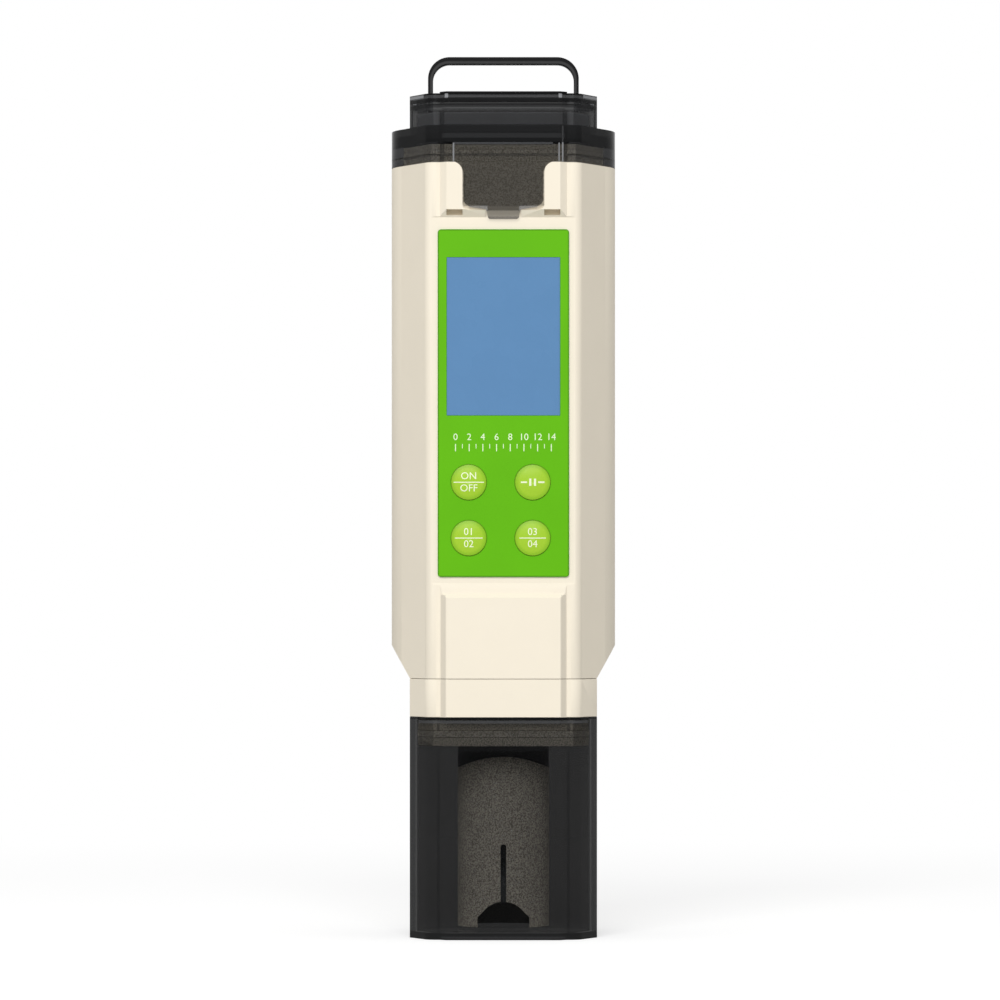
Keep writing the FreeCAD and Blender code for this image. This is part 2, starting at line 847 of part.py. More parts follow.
def make_battery_cap():
    body = body_of("battery_cap")
    bottom = SHOULDER_Z + d.parting_gap
    pad_up(body, "skirt", [outline(0)], bottom, LEDGE_Z)
    pad_up(body, "cap_block", [outline(0, NARROW)], LEDGE_Z - OVER, RIM_Z - d.rim_step)
    round_edges(body, "cap_crests", d.crest_round, at_crest_corner)
    pad_up(body, "cap_panels", plateaus(), bottom, RIM_Z)
    inner = NARROW - d.cap_wall
    ledge = LEDGE_Z - d.cap_wall
    pocket_up(body, "skirt_hollow", [outline(d.skirt_wall)], bottom - OVER, ledge)
    deck_top = RIM_Z - d.deck_depth
    pocket_up(
        body, "block_hollow", [outline(d.cap_wall, inner)], ledge - OVER, deck_top - d.deck_thickness
    )
    pocket_up(body, "recess", [outline(d.cap_wall, inner)], deck_top, RIM_Z + OVER)
    face = PANEL_FACE
    back = face - d.tongue_thickness
    gap = d.tongue_gap
    low = TONGUE_Z + gap
    pad_back(
        body,
        "tongue",
        [tongue_outline(gap, low + d.lip_height, d.tongue_corner)],
        -face,
        -back,
    )
    half_tab = d.tab_width / 2
    wide, narrow = half_tab + gap / 2, half_tab - gap / 2
    side_foot = low + d.lip_height
    middle_foot = side_foot - d.tongue_drop
    middle = [
        (-wide, side_foot + OVER),
        (-narrow, middle_foot),
        (narrow, middle_foot),
        (wide, side_foot + OVER),
    ]
    pad_back(body, "tongue_middle", [middle], -face, -back)
    lip_front = -(back + d.lip_thickness)
    half = d.pocket_width / 2 - gap
    shallow = d.lip_height * 0.6
    soft = d.tab_round
    tab_low = low - d.tab_height
    lip_top = low + d.lip_height + d.lip_overlap
    lip = [
        (-half + d.tongue_corner, low + shallow),
        (-half_tab - soft, low),
        (-half_tab, tab_low + soft),
        (-half_tab + soft, tab_low),
        (half_tab - soft, tab_low),
        (half_tab, tab_low + soft),
        (half_tab + soft, low),
        (half - d.tongue_corner, low + shallow),
        (half - soft, lip_top),
        (-half + soft, lip_top),
    ]
    pad_back(body, "tongue_lip", [lip], lip_front, -back)
    for side, name in ((-1, "left"), (1, "right")):
        inside, outside = side * BOSS_X, side * (inner + d.boss_gap)
        edges = sorted((inside, outside), key=lambda size: size.number)
        pad_right(
            body, "pivot_boss_" + name, [[(ZERO, PIVOT_Z, d.boss_radius)]], *edges
        )
        edges = sorted(
            (side * (BOSS_X - OVER), side * (NARROW - d.pivot_skin)), key=lambda size: size.number
        )
        pocket_right(
            body,
            "pivot_hole_" + name,
            [[(ZERO, PIVOT_Z, d.trunnion_radius + d.pivot_gap)]],
            *edges,
        )
    return node("battery_cap", body)


def make_bail():
    body = body_of("bail")
    out_x, in_x = BAIL_LEG_X, BAIL_LEG_X - d.bail_leg
    top = RIM_Z + d.bail_rise
    under = top - d.bail_bar
    corner = d.bail_corner
    inner_corner = d.bail_corner - d.bail_leg
    arch = [
        (-out_x, PIVOT_Z),
        (-in_x, PIVOT_Z),
        (-in_x, under - inner_corner, -inner_corner),
        (-in_x + inner_corner, under),
        (in_x - inner_corner, under, -inner_corner),
        (in_x, under - inner_corner),
        (in_x, PIVOT_Z),
        (out_x, PIVOT_Z),
        (out_x, top - corner, corner),
        (out_x - corner, top),
        (-out_x + corner, top, corner),
        (-out_x, top - corner),
    ]
    half = d.bail_depth / 2
    pad_back(body, "bail_arch", [arch], -half, half)

    def along_arch(edge):
        return (
            abs(abs(edge.CenterOfMass.y) - half.number) < 0.01
            and edge.CenterOfMass.z > PIVOT_Z.number + d.fit_gap.number
        )

    round_edges(body, "bail_softened", d.bail_soft, along_arch)
    for side, name in ((-1, "left"), (1, "right")):
        eye = sorted((side * in_x, side * out_x), key=lambda size: size.number)
        pad_right(body, "bail_eye_" + name, [[(ZERO, PIVOT_Z, half)]], *eye)
        pin_end = NARROW - d.pivot_skin - d.boss_gap
        pin = sorted((side * in_x, side * pin_end), key=lambda size: size.number)
        pad_right(body, "trunnion_" + name, [[(ZERO, PIVOT_Z, d.trunnion_radius)]], *pin)
    return node("bail", body)


def make_cap_insides():
    inner = NARROW - d.cap_wall
    gap = d.insert_gap
    ledge = LEDGE_Z - d.cap_wall
    carrier = body_of("contact_carrier")
    ceiling = RIM_Z - d.deck_depth - d.deck_thickness
    plug = outline(d.cap_wall + gap, inner - gap)
    pad_up(carrier, "carrier_plug", [plug], LEDGE_Z, ceiling)
    disc_z = SPIGOT_TOP + d.contact_rise
    disc_radius = d.cell_radius + d.contact_margin
    boss_radius = disc_radius + d.contact_sheet
    boss = [(ZERO, d.tube_offset, boss_radius)]
    pad_up(carrier, "carrier_boss", [boss], disc_z + d.contact_sheet, LEDGE_Z + OVER)
    node("contact_carrier", carrier)
    disc = rod("contact_disc", disc_radius, d.contact_sheet, 0, d.tube_offset, disc_z)
    dome_z = STACK_TOP + d.fit_gap / 2 + d.contact_dome
    dome = ball("contact_dome", d.contact_dome, 0, d.tube_offset, dome_z)
    dome_reach = disc_z + d.contact_sheet / 2 - STACK_TOP
    keep = rod("dome_limit", d.contact_dome_span, dome_reach, 0, d.tube_offset, STACK_TOP)
    bump = doc.addObject("Part::Common", "contact_bump")
    bump.Base, bump.Tool = dome, keep
    node("cap_contact", fuse("cap_contact", disc, bump))
    gasket = body_of("cap_gasket")
    ring = [outline(d.skirt_wall + gap), outline(d.skirt_wall + d.spigot_wall + OVER)]
    pad_up(gasket, "gasket_ring", ring, SPIGOT_TOP + gap, ledge)
    pad_up(gasket, "gasket_web", [outline(d.skirt_wall + gap)], ledge - gap, ledge)
    pad_up(gasket, "gasket_plate", [plug], ledge - gap, LEDGE_Z)
    hole = [(ZERO, d.tube_offset, boss_radius + d.fit_gap / 2)]
    pocket_up(gasket, "gasket_hole", [hole], ledge - OVER, LEDGE_Z + OVER)
    node("cap_gasket", gasket)


# Panel, keys and display

LABEL_FRONT = PAD_FACE + d.label_thickness


def make_panel():
    label = body_of("label_overlay")
    half = d.screen_width / 2 + d.label_border
    outline_loop = rectangle(-half, half, LABEL_Z, LABEL_TOP)
    pad_back(label, "label_sheet", [outline_loop], -LABEL_FRONT, -PAD_FACE)
    round_edges(label, "label_corners", d.label_corner, lambda edge: runs_along(edge, 1))
    play = d.fit_gap / 2
    half_screen = d.screen_width / 2 + play
    screen = rectangle(-half_screen, half_screen, SCREEN_Z - play, SCREEN_TOP + play)
    pocket_back(label, "label_window", [screen], -LABEL_FRONT - OVER, -PAD_FACE + OVER)
    holes = [[key_place(*key) + (d.key_radius + d.key_clearance,)] for key in KEYS.values()]
    pocket_back(label, "label_holes", holes, -LABEL_FRONT - OVER, -PAD_FACE + OVER)
    node("label_overlay", label)

    lens = body_of("screen_lens")
    flange_x = d.screen_width / 2 + d.lens_flange
    flange = rectangle(
        -flange_x, flange_x, SCREEN_Z - d.lens_flange, SCREEN_TOP + d.lens_flange
    )
    lens_back = -SHELL_BACK + d.lens_flange_thickness
    pad_back(lens, "lens_flange", [flange], -SHELL_BACK, lens_back)
    face = rectangle(-d.screen_width / 2, d.screen_width / 2, SCREEN_Z, SCREEN_TOP)
    pad_back(lens, "lens_face", [face], -LABEL_FRONT, lens_back)
    node("screen_lens", lens)

    seal = body_of("key_seal")
    first, last = key_place(-1, 0), key_place(1, 1)
    margin = d.key_radius + d.key_seal_margin
    sheet_loop = rectangle(
        first[0] - margin, last[0] + margin, first[1] - margin, last[1] + margin
    )
    seal_back = -SHELL_BACK + d.key_seal_thickness
    pad_back(seal, "key_seal_sheet", [sheet_loop], -SHELL_BACK, seal_back)
    pocket_back(seal, "key_seal_holes", holes, -SHELL_BACK - OVER, seal_back + OVER)
    node("key_seal", seal)


def make_keys():
    """Four keys with their flanges, and the plungers of the switches behind them."""
    flange_front = -SHELL_BACK + d.key_seal_thickness + d.fit_gap / 2
    flange_back = flange_front + d.key_flange_thickness
    face = LABEL_FRONT + d.key_proud
    dome_radius = (d.key_radius * d.key_radius + d.key_dome * d.key_dome) / (2 * d.key_dome)
    for name, (column, row) in KEYS.items():
        x, z = key_place(column, row)
        key = body_of("button_" + name)
        turned = [
            (ZERO, -face, dome_radius),
            (d.key_radius, d.key_dome - face),
            (d.key_radius, flange_front),
            (d.key_radius + d.key_flange, flange_front),
            (d.key_radius + d.key_flange, flange_back),
            (ZERO, flange_back),
        ]
        revolve(key, "key_" + name, turned, "XY_Plane")
        node("button_" + name, place(key, x, ZERO, z))
        plunger_end = -d.board_front - d.switch_depth + d.plunger_sunk
        node(
            "plunger_" + name,
            rod(
                "plunger_" + name,
                d.plunger_radius,
                plunger_end - flange_back,
                x,
                flange_back,
                z,
                TO_THE_BACK,
            ),
        )
    switches, bores = [], []
    half = d.switch_side / 2
    front = -d.board_front - d.switch_depth
    for name, (column, row) in KEYS.items():
        x, z = key_place(column, row)
        switches.append(
            block("switch_" + name, x - half, x + half, front, -d.board_front, z - half, z + half)
        )
        bores.append(
            rod(
                "switch_bore_" + name,
                d.plunger_radius + d.fit_gap,
                OVER + d.plunger_sunk + d.key_travel + d.slide_gap,
                x,
                front - OVER,
                z,
                TO_THE_BACK,
            )
        )
    node("tact_switches", cut("tact_switches", group("switch_blocks", *switches), *bores))


def make_display():
    glass_x = d.screen_width / 2 + d.glass_margin
    glass_z, glass_top = SCREEN_Z - d.zebra_height, SCREEN_TOP + d.zebra_height
    play = d.fit_gap / 2
    front = -SHELL_BACK + d.lens_flange_thickness + play
    glass_back = front + d.glass_thickness
    light_back = glass_back + d.backlight_thickness
    light_z = glass_z + d.zebra_height + d.light_margin
    light_top = glass_top - d.zebra_height - d.light_margin
    glass = block("lcd_panel", -glass_x, glass_x, front, glass_back, glass_z, glass_top)
    node("lcd_panel", glass)
    light = block(
        "lcd_backlight", -glass_x, glass_x, glass_back, light_back, light_z, light_top
    )
    node("lcd_backlight", light)
    zebras = [
        block("zebra_" + side, -glass_x, glass_x, glass_back, -d.board_front, low,
              low + d.zebra_height)
        for side, low in (("low", glass_z), ("high", glass_top - d.zebra_height))
    ]
    node("zebra_strips", group("zebra_strips", *zebras))
    frame_x = glass_x + d.frame_wall
    frame = block(
        "frame_outside", -frame_x, frame_x, front, -d.board_front,
        glass_z - d.frame_wall, glass_top + d.frame_wall,
    )
    hollow = block(
        "frame_inside", -glass_x - play, glass_x + play, front - OVER, -d.board_front + OVER,
        glass_z - play, glass_top + play,
    )
    shelf = block(
        "frame_shelf", -glass_x - 2 * play, glass_x + 2 * play, light_back,
        light_back + d.frame_shelf, light_z, light_top,
    )
    node("lcd_frame", fuse("lcd_frame", cut("frame_ring", frame, hollow), shelf))


def make_board():
    half = d.board_width / 2
    front = -d.board_front
    back = front + d.board_thickness
    board = block("board_blank", -half, half, front, back, BOARD_Z, BOARD_TOP)
    holes, screws = [], []
    for i, (x, z) in enumerate(SCREW_PLACES):
        hole = d.board_thickness + 2 * OVER
        start = front - OVER
        radius = d.screw_radius + d.slide_gap
        holes.append(rod("board_hole_%d" % i, radius, hole, x, start, z, TO_THE_BACK))
        length = d.screw_grip + d.board_thickness
        start = front - d.screw_grip
        shank = rod("shank_%d" % i, d.screw_radius, length, x, start, z, TO_THE_BACK)
        head = rod("head_%d" % i, d.screw_head, d.screw_head_height, x, back, z, TO_THE_BACK)
        screws.append(fuse("screw_%d" % i, shank, head))
    node("main_board", cut("main_board", board, *holes))
    node("board_screws", group("board_screws", *screws))
    for name, width, height, thickness, low in (
        ("controller_chip", d.chip_side, d.chip_side, d.chip_thickness, LABEL_Z + d.chip_rise),
        (
            "input_amplifier",
            d.amplifier_width,
            d.amplifier_height,
            d.amplifier_thickness,
            BOARD_Z + d.amplifier_rise,
        ),
        (
            "board_socket",
            d.socket_width,
            d.socket_height,
            d.socket_thickness,
            BOARD_Z + d.socket_rise,
        ),
    ):
        chip = block(name, -width / 2, width / 2, back, back + thickness, low, low + height)
        node(name, chip)


# Cells and their holder

STACK_TOP = SPIGOT_TOP - d.cell_drop
STACK_Z = STACK_TOP - d.cell_height * d.cell_count
TUBE_Z = STACK_Z - d.leaf_rise - d.tube_floor


def make_cells():
    holder = body_of("battery_holder")
    radius = d.cell_radius + d.slide_gap
    strip_x = radius + d.tube_wall
    flange = outline(SPIGOT_INSET + d.spigot_wall + d.fit_gap)
    pad_up(holder, "holder_flange", [flange], SPIGOT_TOP - d.holder_flange, SPIGOT_TOP)
    pad_up(holder, "holder_tube", [[(ZERO, d.tube_offset, strip_x)]], TUBE_Z, SPIGOT_TOP)
    floor = TUBE_Z + d.tube_floor
    pocket_up(
        holder, "holder_bore", [[(ZERO, d.tube_offset, radius)]], floor, SPIGOT_TOP + OVER
    )
    half_strip = d.strip_width / 2
    slot_half = half_strip + d.fit_gap
    slot = rectangle(
        strip_x,
        strip_x + d.strip_thickness + d.fit_gap,
        d.tube_offset - slot_half,
        d.tube_offset + slot_half,
    )
    pocket_up(holder, "strip_slot", [slot], SPIGOT_TOP - d.strip_slot, SPIGOT_TOP + OVER)
    node("battery_holder", holder)

    cells = []
    for i in range(int(d.cell_count.number)):
        bottom = STACK_Z + d.cell_height * i
        can_z = bottom + d.cell_step
        can_height = d.cell_height - d.cell_step
        can = rod("can_%d" % i, d.cell_radius, can_height, 0, d.tube_offset, can_z)
        face = rod(
            "cell_face_%d" % i,
            d.cell_radius - d.cell_rim,
            d.cell_step + d.fit_gap,
            0,
            d.tube_offset,
            bottom,
        )
        cells.append(fuse("cell_%d" % i, can, face))
    node("button_cells", group("button_cells", *cells))

    spring = body_of("cell_spring")
    thick = d.leaf_thickness
    middle = d.tube_offset
    half_span = d.leaf_span / 2
    crest_y = middle + half_span * 0.58
    tip_y = middle + half_span * 0.8
    leaf = [
        (middle - half_span, floor),
        (middle + half_span, floor),
        (middle + half_span, floor + thick),
        (middle - half_span / 3, floor + thick),
        (crest_y, STACK_Z - thick),
        (tip_y, STACK_Z - 2.4 * thick),
        (tip_y, STACK_Z - 1.4 * thick),
        (crest_y, STACK_Z),
        (middle - half_span * 0.53, floor + thick * 1.6),
        (middle - half_span, floor + thick),
    ]
    pad_right(spring, "spring_leaf", [leaf], -d.leaf_width / 2, d.leaf_width / 2)
    node("cell_spring", spring)

    strip = block(
        "contact_strip",
        strip_x,
        strip_x + d.strip_thickness,
        d.tube_offset - half_strip,
        d.tube_offset + half_strip,
        TUBE_Z - d.strip_tail,
        SPIGOT_TOP + 5 * d.fit_gap,
    )
    node("contact_strip", strip)


# Neck, probe and probe cap

NECK_SPIGOT_Z = NECK_Z - d.spigot_drop
LOWER_HALF = NARROW - d.spigot_inset
UPPER_INSET = d.shell_wall + d.fit_gap
UPPER_HALF = NARROW - UPPER_INSET
NECK_FLOOR = NECK_SPIGOT_Z + d.neck_floor
LOWER_GROOVE_Z = NECK_SPIGOT_Z + d.lower_groove_rise
UPPER_GROOVE_Z = SEAM_Z + d.upper_groove_rise
GUARD_SHOULDER = NECK_SPIGOT_Z - d.guard_drop
CORE_Z = GUARD_SHOULDER - d.core_play - d.core_length


def make_neck():
    neck = body_of("neck_housing")
    top = SEAM_Z - d.parting_gap
    upper_top = TAPER_Z - 5 * d.fit_gap
    pad_up(neck, "neck_outline", [outline(0, NARROW)], NECK_Z, top)
    round_edges(neck, "neck_crests", d.crest_round, at_crest_corner)
    pad_up(neck, "neck_panels", plateaus(), NECK_Z, top)
    pad_up(
        neck, "lower_spigot", [outline(d.spigot_inset, LOWER_HALF)], NECK_SPIGOT_Z, NECK_Z + OVER
    )
    pad_up(neck, "upper_spigot", [outline(UPPER_INSET, UPPER_HALF)], top - OVER, upper_top)
    seal_groove(neck, "lower_groove", LOWER_GROOVE_Z, d.spigot_inset, LOWER_HALF)
    seal_groove(neck, "upper_groove", UPPER_GROOVE_Z, UPPER_INSET, UPPER_HALF)
    pocket_up(
        neck,
        "neck_hollow",
        [outline(UPPER_INSET + d.neck_wall, UPPER_HALF - d.neck_wall)],
        NECK_FLOOR,
        upper_top + OVER,
    )
    stem_hole = [(ZERO, ZERO, d.stem_radius + d.fit_gap / 2)]
    pocket_up(neck, "stem_hole", [stem_hole], NECK_SPIGOT_Z - OVER, NECK_FLOOR + OVER)
    node("neck_housing", neck)
    cap_wall = d.cap_wall + d.fit_gap
    ring = d.seal_depth + d.fit_gap * 1.5
    make_seal("probe_cap_seal", LOWER_GROOVE_Z, cap_wall, ring, NARROW - cap_wall)
    shell_wall = d.shell_wall - d.fit_gap / 2
    ring = d.seal_depth + d.fit_gap
    make_seal("neck_seal", UPPER_GROOVE_Z, shell_wall, ring, NARROW - shell_wall)
    make_seal("spigot_seal", GROOVE_Z, d.skirt_wall, ring)


PIN_START = -60  # degrees round the glass bulb to the first pin
PINS = {
    "conductivity_left": (d.conductivity_radius, d.conductivity_reach),
    "conductivity_right": (d.conductivity_radius, d.conductivity_reach),
    "orp_pin": (d.orp_radius, d.orp_reach),
    "temperature_probe": (d.temperature_radius, d.temperature_reach),
    "reference_junction": (d.junction_radius, d.junction_reach),
}


def make_probe():
    guard = body_of("probe_guard")
    out, inside = d.guard_radius, d.guard_radius - d.guard_wall
    bore = d.stem_radius + d.fit_gap
    shoulder = GUARD_SHOULDER
    roof = d.guard_roof
    top = shoulder + d.guard_arch + OVER
    wall_loop = [
        (inside, d.guard_start),
        (out, d.guard_start),
        (out, top),
        (bore, top),
        (bore, shoulder - roof / 3),
        (inside, shoulder - roof * 4 / 3),
    ]
    revolve(guard, "guard_wall", wall_loop)
    beyond = out + OVER
    arch = arc_radius(out, d.guard_arch)
    above = [
        (-out, shoulder, -arch),
        (out, shoulder),
        (beyond, shoulder),
        (beyond, top + OVER),
        (-beyond, top + OVER),
        (-beyond, shoulder),
    ]
    pocket_back(guard, "guard_crown", [above], -beyond, beyond)
    half_notch, half_arch = d.notch_span / 2, d.arch_span / 2
    spring = d.notch_step + half_notch - half_arch
    notch = [
        (-half_notch, d.guard_start - OVER),
        (half_notch, d.guard_start - OVER),
        (half_notch, d.notch_step),
        (half_arch, spring, arc_radius(half_arch, d.notch_top - spring)),
        (-half_arch, spring),
        (-half_notch, d.notch_step),
    ]
    half_slot = d.slot_width / 2
    slot = [
        (-half_slot, d.notch_top - d.slot_width),
        (half_slot, d.notch_top - d.slot_width),
        (half_slot, d.slot_top - half_slot, half_slot * 1.0001),
        (ZERO, d.slot_top, half_slot * 1.0001),
        (-half_slot, d.slot_top - half_slot),
    ]
    pocket_back(guard, "guard_notch", [notch], -beyond, ZERO)
    pocket_back(guard, "guard_slot", [slot], -beyond, ZERO)
    node("probe_guard", guard)

    collar = body_of("probe_collar")
    play = d.fit_gap / 2
    ring = [[(ZERO, ZERO, out - play)], [(ZERO, ZERO, bore)]]
    pad_up(collar, "collar_ring", ring, shoulder, NECK_SPIGOT_Z - play)
    foot = shoulder + d.fit_gap
    below = [
        (-beyond, shoulder - OVER),
        (beyond, shoulder - OVER),
        (beyond, foot),
        (out, foot, arch),
        (-out, foot),
        (-beyond, foot),
    ]
    pocket_back(collar, "collar_crown", [below], -beyond, beyond)
    node("probe_collar", collar)

    core = rod("core_barrel", d.core_radius, d.core_length, 0, 0, CORE_Z)
    plug_z = NECK_FLOOR + d.stem_rise
    stem = rod("core_stem", d.stem_radius, plug_z - CORE_Z - OVER, 0, 0, CORE_Z + OVER)
    socket_z, socket = CORE_Z - OVER, d.pin_root + OVER
    sockets = [rod("bulb_socket", d.bulb_stem, socket, 0, 0, socket_z)]
    pins = {}
    for i, (name, (radius, reach)) in enumerate(PINS.items()):
        angle = math.radians(PIN_START + 360 * i / len(PINS))
        x, y = d.pin_circle * math.cos(angle), d.pin_circle * math.sin(angle)
        sockets.append(rod("socket_" + name, radius, socket, x, y, socket_z))
        tip = CORE_Z - reach + radius
        length = reach + d.pin_root - radius
        shaft = rod(name + "_rod", radius, length, x, y, tip)
        pins[name] = fuse(name, shaft, ball(name + "_tip", radius, x, y, tip))
    node("probe_core", cut("probe_core", fuse("core_solid", core, stem), *sockets))
    electrodes = pins.pop("conductivity_left"), pins.pop("conductivity_right")
    node("conductivity_pins", group("conductivity_pins", *electrodes))
    for name, pin in pins.items():
        node(name, pin)

    bulb_z = CORE_Z - d.bulb_reach + d.bulb_radius
    bulb = ball("bulb_tip", d.bulb_radius, 0, 0, bulb_z)
    bulb_stem = rod("bulb_stem", d.bulb_stem, CORE_Z + d.pin_root - bulb_z, 0, 0, bulb_z)
    node("ph_bulb", fuse("ph_bulb", bulb, bulb_stem))

    nut = body_of("probe_nut")
    nut_top = NECK_FLOOR + d.nut_height
    pad_up(nut, "nut_hexagon", [hexagon(d.nut_corner)], NECK_FLOOR, nut_top)
    bore = [(ZERO, ZERO, d.stem_radius)]
    pocket_up(nut, "nut_bore", [bore], NECK_FLOOR - OVER, nut_top + OVER)
    node("probe_nut", nut)

    half_x, half_y = d.plug_width / 2, d.plug_depth / 2
    plug_top = plug_z + d.plug_height
    plug = block("module_plug", -half_x, half_x, -half_y, half_y, plug_z, plug_top)
    node("module_plug", plug)
    ribbon = body_of("module_ribbon")
    ribbon_top = BOARD_Z + d.ribbon_entry
    ramp_top = ribbon_top - d.ribbon_run
    ramp_low = ramp_top - d.ribbon_slope
    socket_back = -d.board_front + d.board_thickness + d.socket_thickness
    thick = d.ribbon_thickness
    path = [
        (ZERO, plug_top),
        (thick, plug_top),
        (thick, ramp_low),
        (socket_back + thick, ramp_top),
        (socket_back + thick, ribbon_top),
        (socket_back, ribbon_top),
        (socket_back, ramp_top - thick / 2),
        (ZERO, ramp_low - thick / 2),
    ]
    pad_right(ribbon, "ribbon_strip", [path], -d.ribbon_width / 2, d.ribbon_width / 2)
    node("module_ribbon", ribbon)


def arc_radius(half_chord, rise):
    """Radius of the arc that rises this far over its chord."""
    return (half_chord * half_chord + rise * rise) / (2 * rise)


def hexagon(corner):
    """Hexagon about the axis, by its distance from centre to corner."""
    turns = [math.radians(60 * i) for i in range(6)]
    return [(corner * math.cos(turn), corner * math.sin(turn)) for turn in turns]


def make_probe_cap():
    cap = body_of("probe_cap")
    top = NECK_Z - d.parting_gap
    pad_up(cap, "cap_outline", [outline(0, NARROW)], ZERO, top)
    round_edges(cap, "probe_cap_crests", d.crest_round, at_crest_corner)
    pad_up(cap, "probe_cap_panels", plateaus(), ZERO, top)
    wall = d.cap_wall + d.fit_gap
    pocket_up(cap, "cap_hollow", [outline(wall, NARROW - wall)], d.cap_floor, top + OVER)
    node("probe_cap", cap)


make_shells()
make_battery_cap()
make_bail()
make_cap_insides()
make_panel()
make_keys()
make_display()
make_board()
make_cells()
make_neck()
make_probe()
make_probe_cap()
doc.recompute()

faults = [
    "%s: %s" % (thing.Name, thing.State)
    for thing in doc.Objects
    if "Invalid" in thing.State or "Error" in thing.State
]
for name, thing in nodes.items():
    if thing.Shape.isNull() or not thing.Shape.isValid():
        faults.append("%s has no valid shape" % name)
if faults:
    raise SystemExit("\n".join(faults))

os.makedirs("parts", exist_ok=True)
for name, thing in nodes.items():
    thing.Shape.exportStep(os.path.join("parts", name + ".step"))
    bounds = thing.Shape.BoundBox
    print(
        "%-20s %d solids, volume %.1f, z %.2f to %.2f"
        % (name, len(thing.Shape.Solids), thing.Shape.Volume, bounds.ZMin, bounds.ZMax)
    )
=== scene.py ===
"""Looks of a pen-shaped water quality tester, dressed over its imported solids.

The tester stands on its probe cap at the origin, with +Z up along the pen and its panel towards -Y.
Lengths are metres. Colours are linear red, green and blue.
"""

import logging
import math
from collections.abc import Callable, Iterable
from dataclasses import dataclass, field
from enum import Enum
from functools import cache

import bmesh
import bpy
from mathutils import Matrix, Vector


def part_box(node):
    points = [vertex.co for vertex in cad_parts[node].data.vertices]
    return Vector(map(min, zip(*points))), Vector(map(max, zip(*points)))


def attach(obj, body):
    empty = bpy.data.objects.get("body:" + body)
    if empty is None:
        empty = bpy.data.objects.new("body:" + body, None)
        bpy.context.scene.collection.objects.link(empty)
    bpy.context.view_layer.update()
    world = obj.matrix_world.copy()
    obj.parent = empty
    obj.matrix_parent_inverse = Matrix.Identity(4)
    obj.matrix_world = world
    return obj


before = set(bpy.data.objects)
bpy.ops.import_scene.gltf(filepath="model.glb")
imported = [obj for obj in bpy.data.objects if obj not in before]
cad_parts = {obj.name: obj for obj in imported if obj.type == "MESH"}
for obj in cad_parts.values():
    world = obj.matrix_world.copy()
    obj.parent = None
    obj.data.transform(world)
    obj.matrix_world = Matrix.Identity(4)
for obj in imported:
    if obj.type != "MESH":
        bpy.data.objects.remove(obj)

LOG = logging.getLogger("water_tester")
MM = 0.001
FAR = math.inf

Colour = tuple[float, float, float]
Corner = tuple[float, float, float]
Place = tuple[float, float]
Socket = bpy.types.NodeSocket
Value = Socket | float | Colour


class Axis(Enum):
    """A direction of the tester's frame, by the name of its socket."""

    ACROSS = "X"
    DEEP = "Y"
    UP = "Z"


class Slot(Enum):
    """Two material slot names, the same as the names of two finishes."""

    INK = "white_plastic"
    GREEN = "green_film"


class Body(Enum):
    """The bodies that new pieces ride on."""

    METER = "meter"
    POWER = "power_key"
    HOLD = "hold_key"
    MODE = "mode_key"
    UNIT = "unit_key"


# Materials


def scaled(colour: Colour, factor: float) -> Colour:
    """A colour made lighter or darker by a factor, at most nearly white."""
    return tuple(min(channel * factor, 0.97) for channel in colour)


def smoky(grey: float) -> Colour:
    """A slightly bluish grey."""
    return grey, grey * 1.02, grey * 1.06


@dataclass(frozen=True)
class Zone:
    """A box of the tester's frame, by its lowest and highest corner, open where they are far."""

    low: Corner
    high: Corner


def strip(
    near: float, far: float, low: float, high: float, front: float = -FAR, back: float = FAR
) -> Zone:
    """An upright strip, in millimetres.

    Args:
        near: Its left edge.
        far: Its right edge.
        low: Its foot.
        high: Its top.
        front: Where it starts behind the front.
        back: Where it ends before the back.

    Returns:
        The strip.
    """
    return Zone((near * MM, front * MM, low * MM), (far * MM, back * MM, high * MM))


def slab(low: float, high: float, reach: float = FAR) -> Zone:
    """All of the tester between two heights in millimetres, within a reach left and right."""
    return strip(-reach, reach, low, high)


def both(
    near: float, far: float, low: float, high: float, back: float = FAR
) -> tuple[Zone, Zone]:
    """The same strip right and left of the middle."""
    return strip(near, far, low, high, back=back), strip(-far, -near, low, high, back=back)


class Graph:
    """A node tree with short ways to add to it."""

    def __init__(self, tree: bpy.types.NodeTree) -> None:
        """Takes a node tree.

        Args:
            tree: The node tree.
        """
        self.tree = tree

    def feed(self, target: Socket, value: Value) -> None:
        """Gives a node's input a link or a plain value.

        Args:
            target: The input.
            value: An output to link, a number, a colour or a vector.
        """
        if isinstance(value, bpy.types.NodeSocket):
            self.tree.links.new(value, target)
        elif target.type == "RGBA":
            target.default_value = (*value, 1.0)
        else:
            target.default_value = value

    def node(self, kind: str, *values: Value, **settings: str) -> bpy.types.Node:
        """A new node.

        Args:
            kind: Its type, after the word ShaderNode.
            values: What its first inputs get.
            settings: Its settings by name.

        Returns:
            The node.
        """
        made = self.tree.nodes.new("ShaderNode" + kind)
        for name, setting in settings.items():
            setattr(made, name, setting)
        for target, value in zip(made.inputs, values):
            self.feed(target, value)
        return made

    def reckon(self, operation: str, *values: Value) -> Socket:
        """One Math node.

        Args:
            operation: The node's operation.
            values: Its inputs.

        Returns:
            The node's output.
        """
        return self.node("Math", *values, operation=operation).outputs["Value"]

    def towards(self, value: Value, mask: Socket, goal: Value) -> Socket:
        """A number that goes over to another one where a mask is 1.

        Args:
            value: The number where the mask is 0.
            mask: Where it changes.
            goal: The number where the mask is 1.

        Returns:
            The mixed number.
        """
        gap = self.reckon("SUBTRACT", value, goal)
        return self.reckon("SUBTRACT", value, self.reckon("MULTIPLY", mask, gap))


